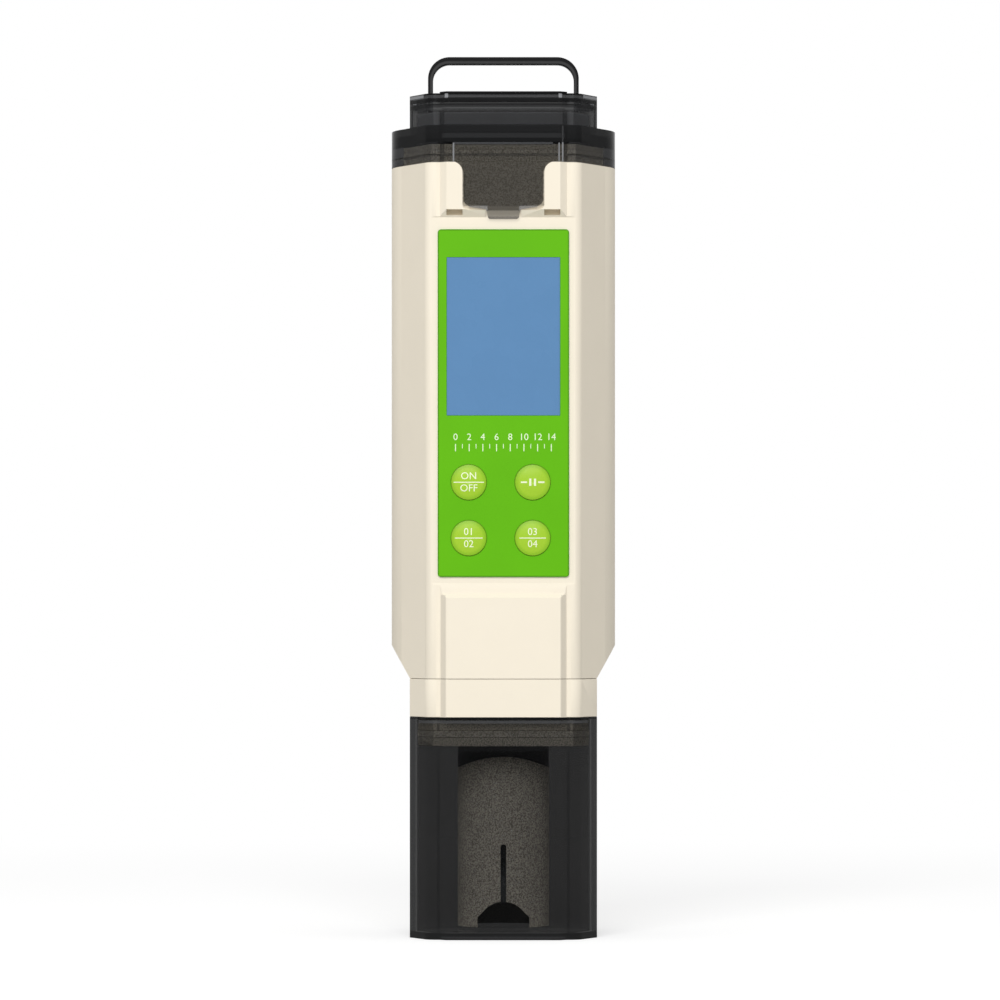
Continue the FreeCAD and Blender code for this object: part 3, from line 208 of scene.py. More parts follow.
class Surface(Graph):
    """The node tree of one material, built round its main shader."""

    SOCKETS = {
        "colour": "Base Color",
        "roughness": "Roughness",
        "metallic": "Metallic",
        "alpha": "Alpha",
        "specular": "Specular IOR Level",
        "normal": "Normal",
    }
    NOISE_SPAN = (0.3, 0.7)
    GRAIN_SPAN = (0.38, 0.62)
    DOT_SPAN = (0.6, 0.72)
    DOT_SIZE = 0.75
    OUTER_SPAN = (2 * MM, 4 * MM)
    UNDER_SPAN = (-0.7, -0.95)
    SOFT_EDGE = 0.05 * MM

    def __init__(self, name: str) -> None:
        """Starts an empty material.

        Args:
            name: The material's name.
        """
        self.material = bpy.data.materials.new(name)
        self.material.use_nodes = True
        super().__init__(self.material.node_tree)
        self.shader = self.tree.nodes["Principled BSDF"]
        coordinates = self.node("TexCoord").outputs
        self.place, self.facing = coordinates["Object"], coordinates["Normal"]
        self.split = self.node("SeparateXYZ", self.place)

    def shade(self, **values: Value) -> None:
        """Feeds the shader's own sockets.

        Args:
            values: The socket's short name, and an output, a number or a colour for it.
        """
        for name, value in values.items():
            self.feed(self.shader.inputs[self.SOCKETS[name]], value)

    def grain(self, size: float, detail: float = 3.0, shift: float = 0.0) -> Socket:
        """Even noise on Object coordinates.

        Args:
            size: The size of one grain.
            detail: How many finer layers it has.
            shift: Moves the pattern, so that two noises differ.

        Returns:
            The noise's output, from 0 to 1.
        """
        place = self.node("Mapping", self.place, (shift, shift, shift)).outputs["Vector"]
        noise = self.node("TexNoise", place)
        self.feed(noise.inputs["Scale"], 1 / size)
        self.feed(noise.inputs["Detail"], detail)
        return noise.outputs["Fac"]

    def along(self, axis: Axis) -> Socket:
        """The place along one axis of the tester's frame."""
        return self.split.outputs[axis.value]

    def step(
        self, source: Socket, start: float, end: float, low: float = 0.0, high: float = 1.0
    ) -> Socket:
        """Maps a range of a source to another, and holds it at the ends.

        Args:
            source: What is mapped.
            start: The source's value that gives low.
            end: The source's value that gives high.
            low: The output at the start.
            high: The output at the end.

        Returns:
            The mapped output.
        """
        values = (source, start, end, low, high)
        return self.node("MapRange", *values, interpolation_type="SMOOTHSTEP").outputs["Result"]

    def spread(self, noise: Socket, low: float = 0.0, high: float = 1.0) -> Socket:
        """Stretches the values that a noise mostly has over a range."""
        return self.step(noise, *self.NOISE_SPAN, low, high)

    def blend(self, factor: Socket, low: Socket | Colour, high: Socket | Colour) -> Socket:
        """Mixes two colours.

        Args:
            factor: 0 gives the first colour and 1 the second.
            low: The first colour.
            high: The second colour.

        Returns:
            The mixed colour.
        """
        node = self.node("Mix", factor, data_type="RGBA")
        self.feed(node.inputs[6], low)
        self.feed(node.inputs[7], high)
        return node.outputs[2]

    def tones(self, factor: Socket, colour: Colour, low: float, high: float) -> Socket:
        """One colour between a darker and a lighter tone.

        Args:
            factor: 0 gives the first tone and 1 the second.
            colour: The colour that is scaled.
            low: The first tone's factor.
            high: The second tone's factor.

        Returns:
            The toned colour.
        """
        return self.blend(factor, scaled(colour, low), scaled(colour, high))

    def speckled(self, colour: Colour, speck: float, contrast: float) -> Socket:
        """A colour with darker grains and small light dots.

        Args:
            colour: The even colour under them.
            speck: The size of one grain.
            contrast: How far the grains and dots differ from the colour.

        Returns:
            The speckled colour.
        """
        grains = self.step(self.grain(speck, detail=4.0, shift=0.11), *self.GRAIN_SPAN)
        grained = self.tones(grains, colour, 1 - contrast, 1 + contrast / 4)
        dots = self.grain(speck * self.DOT_SIZE, detail=2.0, shift=0.71)
        light = scaled(colour, 1 + contrast)
        return self.blend(self.step(dots, *self.DOT_SPAN), grained, light)

    def within(self, zone: Zone) -> Socket:
        """1 inside a box of the tester's frame and 0 outside it."""
        inside: Value = 1.0
        edge = self.SOFT_EDGE
        for axis, low, high in zip(Axis, zone.low, zone.high):
            place = self.along(axis)
            if low > -FAR:
                inside = self.reckon("MULTIPLY", inside, self.step(place, low - edge, low + edge))
            if high < FAR:
                inside = self.reckon("MULTIPLY", inside, self.step(place, high + edge, high - edge))
        return inside

    def outer(self) -> Socket:
        """1 on walls that face away from the tester's axis and 0 on the others."""
        across = self.node("VectorMath", self.place, (1.0, 1.0, 0.0), operation="MULTIPLY")
        vectors = (across.outputs["Vector"], self.facing)
        away = self.node("VectorMath", *vectors, operation="DOT_PRODUCT")
        return self.step(away.outputs["Value"], *self.OUTER_SPAN)

    def underside(self) -> Socket:
        """1 on faces that look down and 0 on the others."""
        return self.step(self.node("SeparateXYZ", self.facing).outputs["Z"], *self.UNDER_SPAN)

    def off_arch(self, half_width: float, top: float, corner: float) -> Socket:
        """How far a place is from the line of an arch with rounded corners.

        Args:
            half_width: From the middle of the arch to its legs.
            top: The height of its top.
            corner: The radius of its corners.

        Returns:
            The distance to the line, across and up.
        """
        aside = self.reckon("ABSOLUTE", self.along(Axis.ACROSS))
        aside = self.reckon("SUBTRACT", aside, half_width - corner)
        above = self.reckon("SUBTRACT", self.along(Axis.UP), top - corner)
        outer_x = self.reckon("MAXIMUM", aside, 0.0)
        outer_z = self.reckon("MAXIMUM", above, 0.0)
        inner = self.reckon("MINIMUM", self.reckon("MAXIMUM", aside, above), 0.0)
        signed = self.reckon("ADD", self.length(outer_x, outer_z), inner)
        return self.reckon("ABSOLUTE", self.reckon("SUBTRACT", signed, corner))

    def length(self, across: Socket, up: Socket) -> Socket:
        """The length of a way across and up."""
        squares = (self.reckon("MULTIPLY", way, way) for way in (across, up))
        return self.reckon("SQRT", self.reckon("ADD", *squares))

    def relief(self, height: Socket, depth: float) -> None:
        """Gives the shader a bump.

        Args:
            height: The pattern, from 0 to 1.
            depth: How high its full range stands.
        """
        bump = self.node("Bump")
        for name, value in (("Strength", 1.0), ("Distance", depth), ("Height", height)):
            self.feed(bump.inputs[name], value)
        self.shade(normal=bump.outputs["Normal"])

    def glow(self, strength: Value) -> Socket:
        """A shader that gives white light."""
        return self.node("Emission", (1.0, 1.0, 1.0), strength).outputs["Emission"]

    def cross(self, factor: Socket, first: Socket, second: Socket) -> Socket:
        """Mixes two shaders."""
        return self.node("MixShader", factor, first, second).outputs["Shader"]


@dataclass(frozen=True)
class Finish:
    """A finish that several pieces can share."""

    name: str

    def paint(self, surface: Surface) -> None:
        """Builds the finish's nodes on an empty material."""
        raise NotImplementedError


@cache
def material_of(finish: Finish) -> bpy.types.Material:
    """The one material that shows a finish."""
    surface = Surface(finish.name)
    finish.paint(surface)
    return surface.material


@dataclass(frozen=True)
class Moulded(Finish):
    """Moulded plastic or rubber: a fine skin, slight clouding and uneven gloss."""

    colour: Colour
    roughness: float = 0.42
    uneven: float = 0.05
    specular: float = 0.35
    skin: float = 0.25 * MM
    relief: float = 0.004 * MM
    cloud: float = 0.03
    cloud_size: float = 9 * MM

    def paint(self, surface: Surface) -> None:
        """Builds the finish's nodes on an empty material."""
        fine = surface.grain(self.skin)
        surface.shade(
            colour=self.pigment(surface),
            roughness=surface.spread(
                fine, self.roughness - self.uneven, self.roughness + self.uneven
            ),
            specular=self.specular,
        )
        surface.relief(fine, self.relief)

    def pigment(self, surface: Surface) -> Socket:
        """The clouded colour."""
        cloud = surface.spread(surface.grain(self.cloud_size, shift=0.37))
        return surface.tones(cloud, self.colour, 1 - self.cloud, 1 + self.cloud)


@dataclass(frozen=True)
class Grained:
    """Where a smoked cap covers the housing, and how strong its moulding grain is there."""

    zone: Zone
    contrast: float


@dataclass(frozen=True)
class Housing(Moulded):
    """The cream housing, left with its moulding grain where a smoked cap covers it, and with
    painted shade on the flanks beside its panel.
    """

    covered: tuple[Grained, ...] = ()
    covered_tone: float = 0.78
    speck: float = 0.25 * MM
    # Zones that get painted shade, and the tone that the shade scales the cream by
    painted_shade_zones: tuple[Zone, ...] = ()
    painted_shade_tone: float = 0.82

    def pigment(self, surface: Surface) -> Socket:
        """The clouded colour, with specks under the cap and painted shade on the flanks beside the
        panel.
        """
        colour = super().pigment(surface)
        covered = scaled(self.colour, self.covered_tone)
        painted_shade = scaled(self.colour, self.painted_shade_tone)
        for patch in self.covered:
            grained = surface.speckled(covered, self.speck, patch.contrast)
            colour = surface.blend(surface.within(patch.zone), colour, grained)
        # Painted shade on the flanks beside the panel
        for zone in self.painted_shade_zones:
            colour = surface.blend(surface.within(zone), colour, painted_shade)
        return colour


@dataclass(frozen=True)
class Speckled(Moulded):
    """Grained plastic with light and dark specks."""

    speck: float = 0.25 * MM
    contrast: float = 0.5
    # Tone of the painted shade on the faces inside a hollow piece
    inside: float = 1.0

    def pigment(self, surface: Surface) -> Socket:
        """The speckled colour, with painted shade on the faces inside a hollow piece."""
        grained = surface.speckled(self.colour, self.speck, self.contrast)
        # Painted shade for the faces inside
        dark = surface.speckled(scaled(self.colour, self.inside), self.speck, self.contrast)
        return surface.blend(surface.outer(), dark, grained)


@dataclass(frozen=True)
class Band:
    """Part of a smoked cap's outside that is denser or clearer, or that carries painted light or
    shade, such as a painted highlight on an edge.
    """

    zone: Zone
    grey: float
    tint: float


def bands(grey: float, tint: float, *zones: Zone) -> tuple[Band, ...]:
    """Several bands of one grey and tint."""
    return tuple(Band(zone, grey, tint) for zone in zones)


@dataclass(frozen=True)
class Smoked(Finish):
    """Polished see-through plastic with a dark tint, whose faces each dim what is behind them.

    Above the height resting, the faces that look down lie on another piece and add no tint.
    """

    colour: Colour
    tint: float
    roughness: float = 0.12
    uneven: float = 0.06
    specular: float = 0.012
    haze: float = 0.12
    haze_size: float = 14 * MM
    haze_span: tuple[float, float] = (0.35, 0.7)
    # Bands of denser plastic, and of painted light and shade
    bands: tuple[Band, ...] = ()
    thin: tuple[Zone, ...] = ()
    thin_tint: float = 0.19
    resting: float = FAR

    def paint(self, surface: Surface) -> None:
        """Builds the finish's nodes on an empty material."""
        haze = surface.grain(self.haze_size, shift=0.53)
        colour = surface.tones(surface.spread(haze), self.colour, 1 - self.haze, 1 + self.haze)
        alpha: Value = self.tint
        outer = surface.outer()
        for zone in self.thin:
            alpha = surface.towards(alpha, surface.within(zone), self.thin_tint)
        for band in self.bands:
            there = surface.reckon("MULTIPLY", surface.within(band.zone), outer)
            colour = surface.blend(there, colour, smoky(band.grey))
            alpha = surface.towards(alpha, there, band.tint)
        if self.resting < FAR:
            over = surface.within(Zone((-FAR, -FAR, self.resting), (FAR, FAR, FAR)))
            rests = surface.reckon("MULTIPLY", over, surface.underside())
            alpha = surface.towards(alpha, rests, 0.0)
        glossiness = (self.roughness, self.roughness + self.uneven)
        roughness = surface.step(haze, *self.haze_span, *glossiness)
        surface.shade(colour=colour, roughness=roughness, specular=self.specular, alpha=alpha)


@dataclass(frozen=True)
class HighlightedRod(Moulded):
    """Black moulded rod with a painted highlight, a paler band along the middle of its arch."""

    half_width: float = 0.0
    top: float = 0.0
    corner: float = 0.0
    highlight_span: tuple[float, float] = (0.4 * MM, 0.1 * MM)
    highlight_colour: Colour = (0.045, 0.045, 0.046)

    def pigment(self, surface: Surface) -> Socket:
        """The colour, with the painted highlight along the arch."""
        off = surface.off_arch(self.half_width, self.top, self.corner)
        middle = surface.step(off, *self.highlight_span)
        return surface.blend(middle, super().pigment(surface), self.highlight_colour)


@dataclass(frozen=True)
class Film(Finish):
    """Printed film with a fine satin texture, and painted shade where its pressed edge turns down.
    """

    colour: Colour
    roughness: float = 0.45
    roughest: float = 0.55
    specular: float = 0.1
    inside: Zone | None = None
    painted_edge_shade: float = 0.62
    cloud: float = 0.03
    cloud_size: float = 16 * MM
    weave: float = 0.12 * MM
    relief: float = 0.002 * MM

    def paint(self, surface: Surface) -> None:
        """Builds the finish's nodes on an empty material."""
        cloud = surface.spread(surface.grain(self.cloud_size, detail=2.0, shift=0.2))
        colour = surface.tones(cloud, self.colour, 1 - self.cloud, 1 + self.cloud)
        # Painted shade on the pressed edge round the zone inside it
        if self.inside is not None:
            edge = scaled(self.colour, self.painted_edge_shade)
            colour = surface.blend(surface.within(self.inside), edge, colour)
        weave = surface.grain(self.weave, detail=2.0)
        roughness = surface.spread(weave, self.roughness, self.roughest)
        surface.shade(colour=colour, roughness=roughness, specular=self.specular)
        surface.relief(weave, self.relief)


@dataclass(frozen=True)
class KeyTop(Finish):
    """A domed key whose colour deepens towards its edge as painted shade."""

    colour: Colour
    shaded_rim: Colour
    centre: Place
    radius: float
    shaded_rim_start: float = 0.72
    roughness: tuple[float, float] = (0.22, 0.34)
    specular: float = 0.16
    skin: float = 0.3 * MM
    relief: float = 0.003 * MM

    def paint(self, surface: Surface) -> None:
        """Builds the finish's nodes on an empty material."""
        across = surface.reckon("SUBTRACT", surface.along(Axis.ACROSS), self.centre[0])
        up = surface.reckon("SUBTRACT", surface.along(Axis.UP), self.centre[1])
        away = surface.length(across, up)
        # Painted shade, darker towards the key's edge
        shaded_rim = surface.step(away, self.radius * self.shaded_rim_start, self.radius)
        fine = surface.grain(self.skin)
        surface.shade(
            colour=surface.blend(shaded_rim, self.colour, self.shaded_rim),
            roughness=surface.spread(fine, *self.roughness),
            specular=self.specular,
        )
        surface.relief(fine, self.relief)


@dataclass(frozen=True)
class Clear(Finish):
    """Clear plastic or glass that shows what lies behind it."""

    colour: Colour
    tint: float
    roughness: float = 0.06
    uneven: float = 0.05
    specular: float = 0.4
    haze: float = 0.03
    haze_size: float = 6 * MM

    def paint(self, surface: Surface) -> None:
        """Builds the finish's nodes on an empty material."""
        haze = surface.grain(self.haze_size)
        surface.shade(
            colour=surface.tones(haze, self.colour, 1 - self.haze, 1 + self.haze),
            roughness=surface.spread(haze, self.roughness, self.roughness + self.uneven),
            alpha=self.tint,
            specular=self.specular,
        )


@dataclass(frozen=True)
class Metal(Finish):
    """Bright metal with fine drawn lines."""

    colour: Colour
    roughness: float = 0.28
    uneven: tuple[float, float] = (-0.08, 0.1)
    tones: tuple[float, float] = (0.85, 1.05)
    line: float = 0.08 * MM
    relief: float = 0.003 * MM

    def paint(self, surface: Surface) -> None:
        """Builds the finish's nodes on an empty material."""
        lines = surface.grain(self.line)
        surface.shade(
            colour=surface.tones(lines, self.colour, *self.tones),
            roughness=surface.spread(lines, *(self.roughness + part for part in self.uneven)),
            metallic=1.0,
        )
        surface.relief(lines, self.relief)


CREAM: Colour = (0.91, 0.835, 0.695)
# Strips beside the raised panel, front only, that get painted shade on the housing and the neck
SHADED_FLANKS = both(10.25, 11.1, 39.6, 61.2, back=0.0)
HOUSING = Housing(
    "cream_housing",
    CREAM,
    roughness=0.5,
    specular=0.03,
    cloud=0.008,
    covered=(
        Grained(slab(138.05, 142), 0.5),
        Grained(strip(-7.4, 7.4, 130.2, 138.1, front=-17.1, back=0.0), 0.35),
    ),
    painted_shade_zones=SHADED_FLANKS,
)
NECK = Housing(
    "cream_neck",
    CREAM,
    roughness=0.5,
    specular=0.03,
    cloud=0.008,
    covered=(Grained(slab(30, 39.45), 0.5),),
    painted_shade_zones=SHADED_FLANKS,
)
SILICONE = Speckled("pale_silicone", scaled(CREAM, 0.86), roughness=0.6, specular=0.2)
# The guard's inner faces get painted shade, nearly black
GUARD = Speckled(
    "grained_guard", (0.78, 0.72, 0.61), roughness=0.6, specular=0.2, contrast=0.55, inside=0.1
)
SMOKE: Colour = smoky(0.007)
SMOKED_CAP = Smoked(
    "smoked_battery_cap",
    SMOKE,
    0.41,
    bands=(
        # Side walls and corners: painted light on the cheeks, denser and lighter plastic at the
        # outer edges, and darker panel flanks, partly thicker plastic on the slope and partly
        # painted shade
        *bands(0.036, 0.41, *both(11.6, 21, 137, 151)),
        *bands(0.05, 0.85, *both(17.9, 21, 137, 141.3), *both(16.35, 17, 144.6, 149.7)),
        *bands(0.012, 0.6, *both(10.5, 11.3, 137, 149)),
        # Collar
        *bands(0.0155, 0.92, slab(143.3, 144.65)),
        *bands(0.014, 0.93, slab(141.6, 143.3)),
        *bands(0.026, 0.9, slab(142.3, 143.1, 10.9)),
        *bands(0.011, 0.94, slab(141.6, 142.2)),
        *bands(0.012, 0.93, *both(15.5, 21, 141.3, 144.65)),
        # Painted highlight: a light line along the foot of the collar
        *bands(0.065, 0.8, slab(141.15, 141.5, 8.8)),
        # Top of the housing's shoulder, seen through the skirt
        *bands(0.01, 0.6, slab(139.25, 139.55)),
        # Rim of the block: dense dark bands, and lighter bands that are painted highlights along
        # its bevels
        *bands(0.007, 0.93, slab(150.0, 151)),
        *bands(0.055, 0.65, slab(149.45, 149.95)),
        *bands(0.0115, 0.93, slab(148.75, 149.4)),
        *bands(0.017, 0.88, slab(148.1, 148.4)),
        *bands(0.02, 0.85, slab(147.7, 148.1)),
        *bands(0.04, 0.65, slab(147.15, 147.7)),
        *bands(0.01, 0.9, *both(16.15, 16.35, 144.6, 149.5)),
        # Painted highlights: streaks of light on edges, and on the block's top corners
        *bands(0.24, 0.8, strip(-9, -8.7, 138.1, 141.4), strip(9.75, 10.0, 138.1, 141.4)),
        *bands(0.3, 0.85, strip(10.4, 10.65, 138.1, 141.5)),
        *bands(0.06, 0.7, strip(10.4, 10.65, 141.5, 144.4)),
        *bands(0.28, 0.85, *both(14.2, 16.8, 149.6, 150.1), *both(9.8, 10.4, 149.4, 150.1)),
        # Foot of the tongue and of the skirt
        *bands(0.05, 0.4, slab(127.9, 128.35, 2.9)),
        *bands(0.35, 0.4, *both(2.8, 9, 129.42, 130.27)),
    ),
    thin=(slab(120, 129.42),),
    resting=141.2 * MM,
)
SMOKED_PROBE_CAP = Smoked(
    "smoked_probe_cap",
    SMOKE,
    0.38,
    bands=(
        # Side walls and corners: denser plastic at the sides, and darker panel flanks, partly
        # thicker plastic on the slope and partly painted shade
        *bands(0.024, 0.75, *both(15.7, 17, 0, 40)),
        *bands(0.012, 0.55, *both(11.3, 11.8, 1, 39)),
        # Rim, and painted light under it, where the neck's overhang shades the inside
        *bands(0.009, 0.94, slab(39.1, 40)),
        *bands(0.07, 0.7, slab(38.4, 38.95, 15.1)),
        *bands(0.012, 0.46, slab(33.5, 37, 15.1)),
        # Floor: a dense dark band, with a painted highlight along it
        *bands(0.009, 0.9, slab(-1, 1.25)),
        *bands(0.03, 0.9, slab(0.3, 0.6, 11)),
    ),
)
CARRIER = Moulded("grey_carrier", (0.3, 0.305, 0.32), roughness=0.5)
# The bail's paler middle band is a painted highlight
BAIL = HighlightedRod(
    "black_bail",
    (0.0055, 0.0055, 0.006),
    roughness=0.45,
    specular=0.08,
    half_width=12.95 * MM,
    top=157.25 * MM,
    corner=3.1 * MM,
)
BLACK = Moulded("black_plastic", (0.015, 0.015, 0.016), roughness=0.45)
RUBBER = Moulded(
    "seal_rubber", (0.012, 0.012, 0.012), roughness=0.75, specular=0.25, relief=0.01 * MM
)
# The film's edge outside this zone gets painted shade
GREEN = Film("green_film", (0.125, 0.48, 0.004), inside=strip(-11.42, 11.42, 64.62, 125.88))
# Rings in the gaps round the keys, a little darker than the film as painted shade round each key
SHADED_KEY_RING = Moulded("shaded_key_ring", (0.15, 0.36, 0.01), roughness=0.5, specular=0.15)
KEY: Colour = (0.37, 0.615, 0.035)
# The deeper green of the painted shade at each key's edge
KEY_SHADED_RIM: Colour = (0.26, 0.52, 0.02)
INK = Moulded("pale_ink", (0.8, 0.93, 0.62), roughness=0.5, relief=0.001 * MM)
KEY_INK = Moulded("key_ink", (0.88, 0.93, 0.66), roughness=0.5, relief=0.001 * MM)
LENS = Clear("screen_lens", (0.128, 0.283, 0.52), 0.88, roughness=0.25, specular=0.12)
BULB_GLASS = Clear("bulb_glass", (0.75, 0.8, 0.83), 0.3)
DISPLAY = Film("display_blue", (0.115, 0.27, 0.5), roughness=0.35)
DIFFUSER = Moulded("display_diffuser", (0.85, 0.87, 0.9), roughness=0.4)
WHITE = Moulded("white_plastic", (0.8, 0.8, 0.78), roughness=0.4)
BOARD = Moulded("board_mask", (0.012, 0.16, 0.05), roughness=0.3, cloud=0.12, cloud_size=2 * MM)
RESIN = Moulded("chip_resin", (0.02, 0.02, 0.022), roughness=0.55, relief=0.006 * MM)
STEEL = Metal("spring_steel", (0.62, 0.62, 0.61))
PLATINUM = Metal("platinum_tip", (0.76, 0.75, 0.72), roughness=0.18)
CERAMIC = Moulded("porous_ceramic", (0.82, 0.78, 0.7), roughness=0.85, relief=0.02 * MM)

NODES_OF: dict[Finish, tuple[str, ...]] = {
    HOUSING: ("front_shell", "rear_shell"),
    NECK: ("neck_housing",),
    SILICONE: ("spigot_seal", "probe_cap_seal"),
    RUBBER: ("shell_seals", "neck_seal", "cap_gasket", "key_seal", "zebra_strips"),
    SMOKED_CAP: ("battery_cap",),
    SMOKED_PROBE_CAP: ("probe_cap",),
    CARRIER: ("contact_carrier",),
    BAIL: ("bail",),
    GREEN: ("label_overlay",),
    LENS: ("screen_lens",),
    DISPLAY: ("lcd_panel",),
    DIFFUSER: ("lcd_backlight",),
    WHITE: ("lcd_frame", "board_socket", "module_plug", "module_ribbon"),
    BOARD: ("main_board",),
    RESIN: (
        "tact_switches",
        "plunger_power",
        "plunger_hold",
        "plunger_mode",
        "plunger_unit",
        "controller_chip",
        "input_amplifier",
    ),
    BLACK: ("battery_holder", "probe_collar", "probe_core", "probe_nut"),
    STEEL: (
        "cap_contact",
        "board_screws",
        "button_cells",
        "cell_spring",
        "contact_strip",
        "conductivity_pins",
        "temperature_probe",
    ),
    GUARD: ("probe_guard",),
    BULB_GLASS: ("ph_bulb",),
    PLATINUM: ("orp_pin",),
    CERAMIC: ("reference_junction",),
}


def dress(thing: bpy.types.Object, finish: Finish) -> None:
    """Gives an object one finish all over.

    Args:
        thing: The object.
        finish: The finish it gets.
    """
    thing.data.materials.clear()
    thing.data.materials.append(material_of(finish))


# Pieces made here


def add_piece(
    name: str, mesh: bpy.types.Mesh, finish: Finish, body: Body
) -> bpy.types.Object:
    """Puts a finished mesh into the scene as one piece of the tester.

    Args:
        name: The piece's name.
        mesh: Its mesh, in the tester's frame.
        finish: Its finish.
        body: The body it moves with.

    Returns:
        The piece's object, at the origin.
    """
    thing = bpy.data.objects.new(name, mesh)
    bpy.context.scene.collection.objects.link(thing)
    dress(thing, finish)
    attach(thing, body.value)
    LOG.info("%s: %d faces on %s", name, len(mesh.polygons), body.value)
    return thing


def finish_mesh(name: str, shape: bmesh.types.BMesh, smooth: bool = False) -> bpy.types.Mesh:
    """Turns a bmesh into a mesh with its faces pointing outwards.

    Args:
        name: The mesh's name.
        shape: The bmesh, which is freed.
        smooth: Whether its faces are shaded smooth.

    Returns:
        The mesh.
    """
    bmesh.ops.remove_doubles(shape, verts=shape.verts, dist=1e-7)
    bmesh.ops.recalc_face_normals(shape, faces=shape.faces)
    for face in shape.faces:
        face.smooth = smooth
    mesh = bpy.data.meshes.new(name)
    shape.to_mesh(mesh)
    shape.free()
    return mesh


def add_bar(shape: bmesh.types.BMesh, centre: Vector, size: Vector, round_off: float) -> None:
    """Adds a box with softened edges to a bmesh.

    Args:
        shape: The bmesh.
        centre: The middle of the box.
        size: Its three sides.
        round_off: The width of the bevel on its edges.
    """
    matrix = Matrix.Translation(centre) @ Matrix.Diagonal((*size, 1.0))
    made = bmesh.ops.create_cube(shape, size=1.0, matrix=matrix)["verts"]
    bmesh.ops.bevel(
        shape,
        geom=list({edge for vert in made for edge in vert.link_edges}),
        offset=round_off,
        offset_type="OFFSET",
        segments=2,
        profile=0.5,
        affect="EDGES",
        material=-1,
    )


def joined(name: str, meshes: Iterable[bpy.types.Mesh]) -> bpy.types.Mesh:
    """One mesh out of several.

    Args:
        name: The new mesh's name.
        meshes: The meshes, which are removed.

    Returns:
        The joined mesh.
    """
    shape = bmesh.new()
    for mesh in meshes:
        shape.from_mesh(mesh)
        bpy.data.meshes.remove(mesh)
    return finish_mesh(name, shape)


@dataclass(frozen=True)
class Stamp:
    """Raised print: letters and lines a hair thick, laid on the surface that carries them."""

    thickness: float = 0.03 * MM
    long_edge: float = 0.5 * MM
    cuts: int = 6
    drape: Callable[[float, float], float] = field(default=lambda x, z: 0.0)

    def letters(self, text: str, size: float, x: float, z: float) -> bpy.types.Mesh:
        """Upright letters, read from the front.

        Args:
            text: What they say.
            size: The size of the type.
            x: The middle of the line.
            z: The middle of the line's height.

        Returns:
            Their mesh, in the tester's frame.
        """
        curve = bpy.data.curves.new("letters", "FONT")
        curve.body = text
        curve.size = size
        curve.align_x, curve.align_y = "CENTER", "CENTER"
        curve.extrude = self.thickness / 2
        curve.resolution_u = 3
        thing = bpy.data.objects.new("letters", curve)
        bpy.context.scene.collection.objects.link(thing)
        graph = bpy.context.evaluated_depsgraph_get()
        mesh = bpy.data.meshes.new_from_object(thing.evaluated_get(graph))
        bpy.data.objects.remove(thing)
        bpy.data.curves.remove(curve)
        mesh.transform(Matrix.Translation((x, 0, z)) @ Matrix.Rotation(math.pi / 2, 4, "X"))
        return self.laid(mesh)

    def lines(self, rows: list[tuple[Place, Place]]) -> bpy.types.Mesh:
        """Straight bars, cut into short lengths where they are long, so that they can bend.

        Args:
            rows: Each bar's middle and its width and height.

        Returns:
            Their mesh, in the tester's frame.
        """
        shape = bmesh.new()
        for (x, z), (width, height) in rows:
            size = Vector((width, self.thickness, height))
            add_bar(shape, Vector((x, 0, z)), size, self.thickness / 4)
        long_edges = [edge for edge in shape.edges if edge.calc_length() > self.long_edge]
        bmesh.ops.subdivide_edges(shape, edges=long_edges, cuts=self.cuts, use_grid_fill=True)
        return self.laid(finish_mesh("lines", shape))

    def laid(self, mesh: bpy.types.Mesh) -> bpy.types.Mesh:
        """Lays a mesh drawn at y = 0 on the surface."""
        for vert in mesh.vertices:
            vert.co.y += self.drape(vert.co.x, vert.co.z) - self.thickness / 2
        return mesh


class Legend(Enum):
    """What a key carries: type over and under a divider, or a pause mark where there is none."""

    POWER = ("ON", "OFF")
    HOLD = ()
    MODE = ("01", "02")
    UNIT = ("03", "04")


@dataclass(frozen=True)
class Key:
    """One key: its body, its legend and the length of its divider."""

    body: Body
    legend: Legend
    divider: float = 0.0


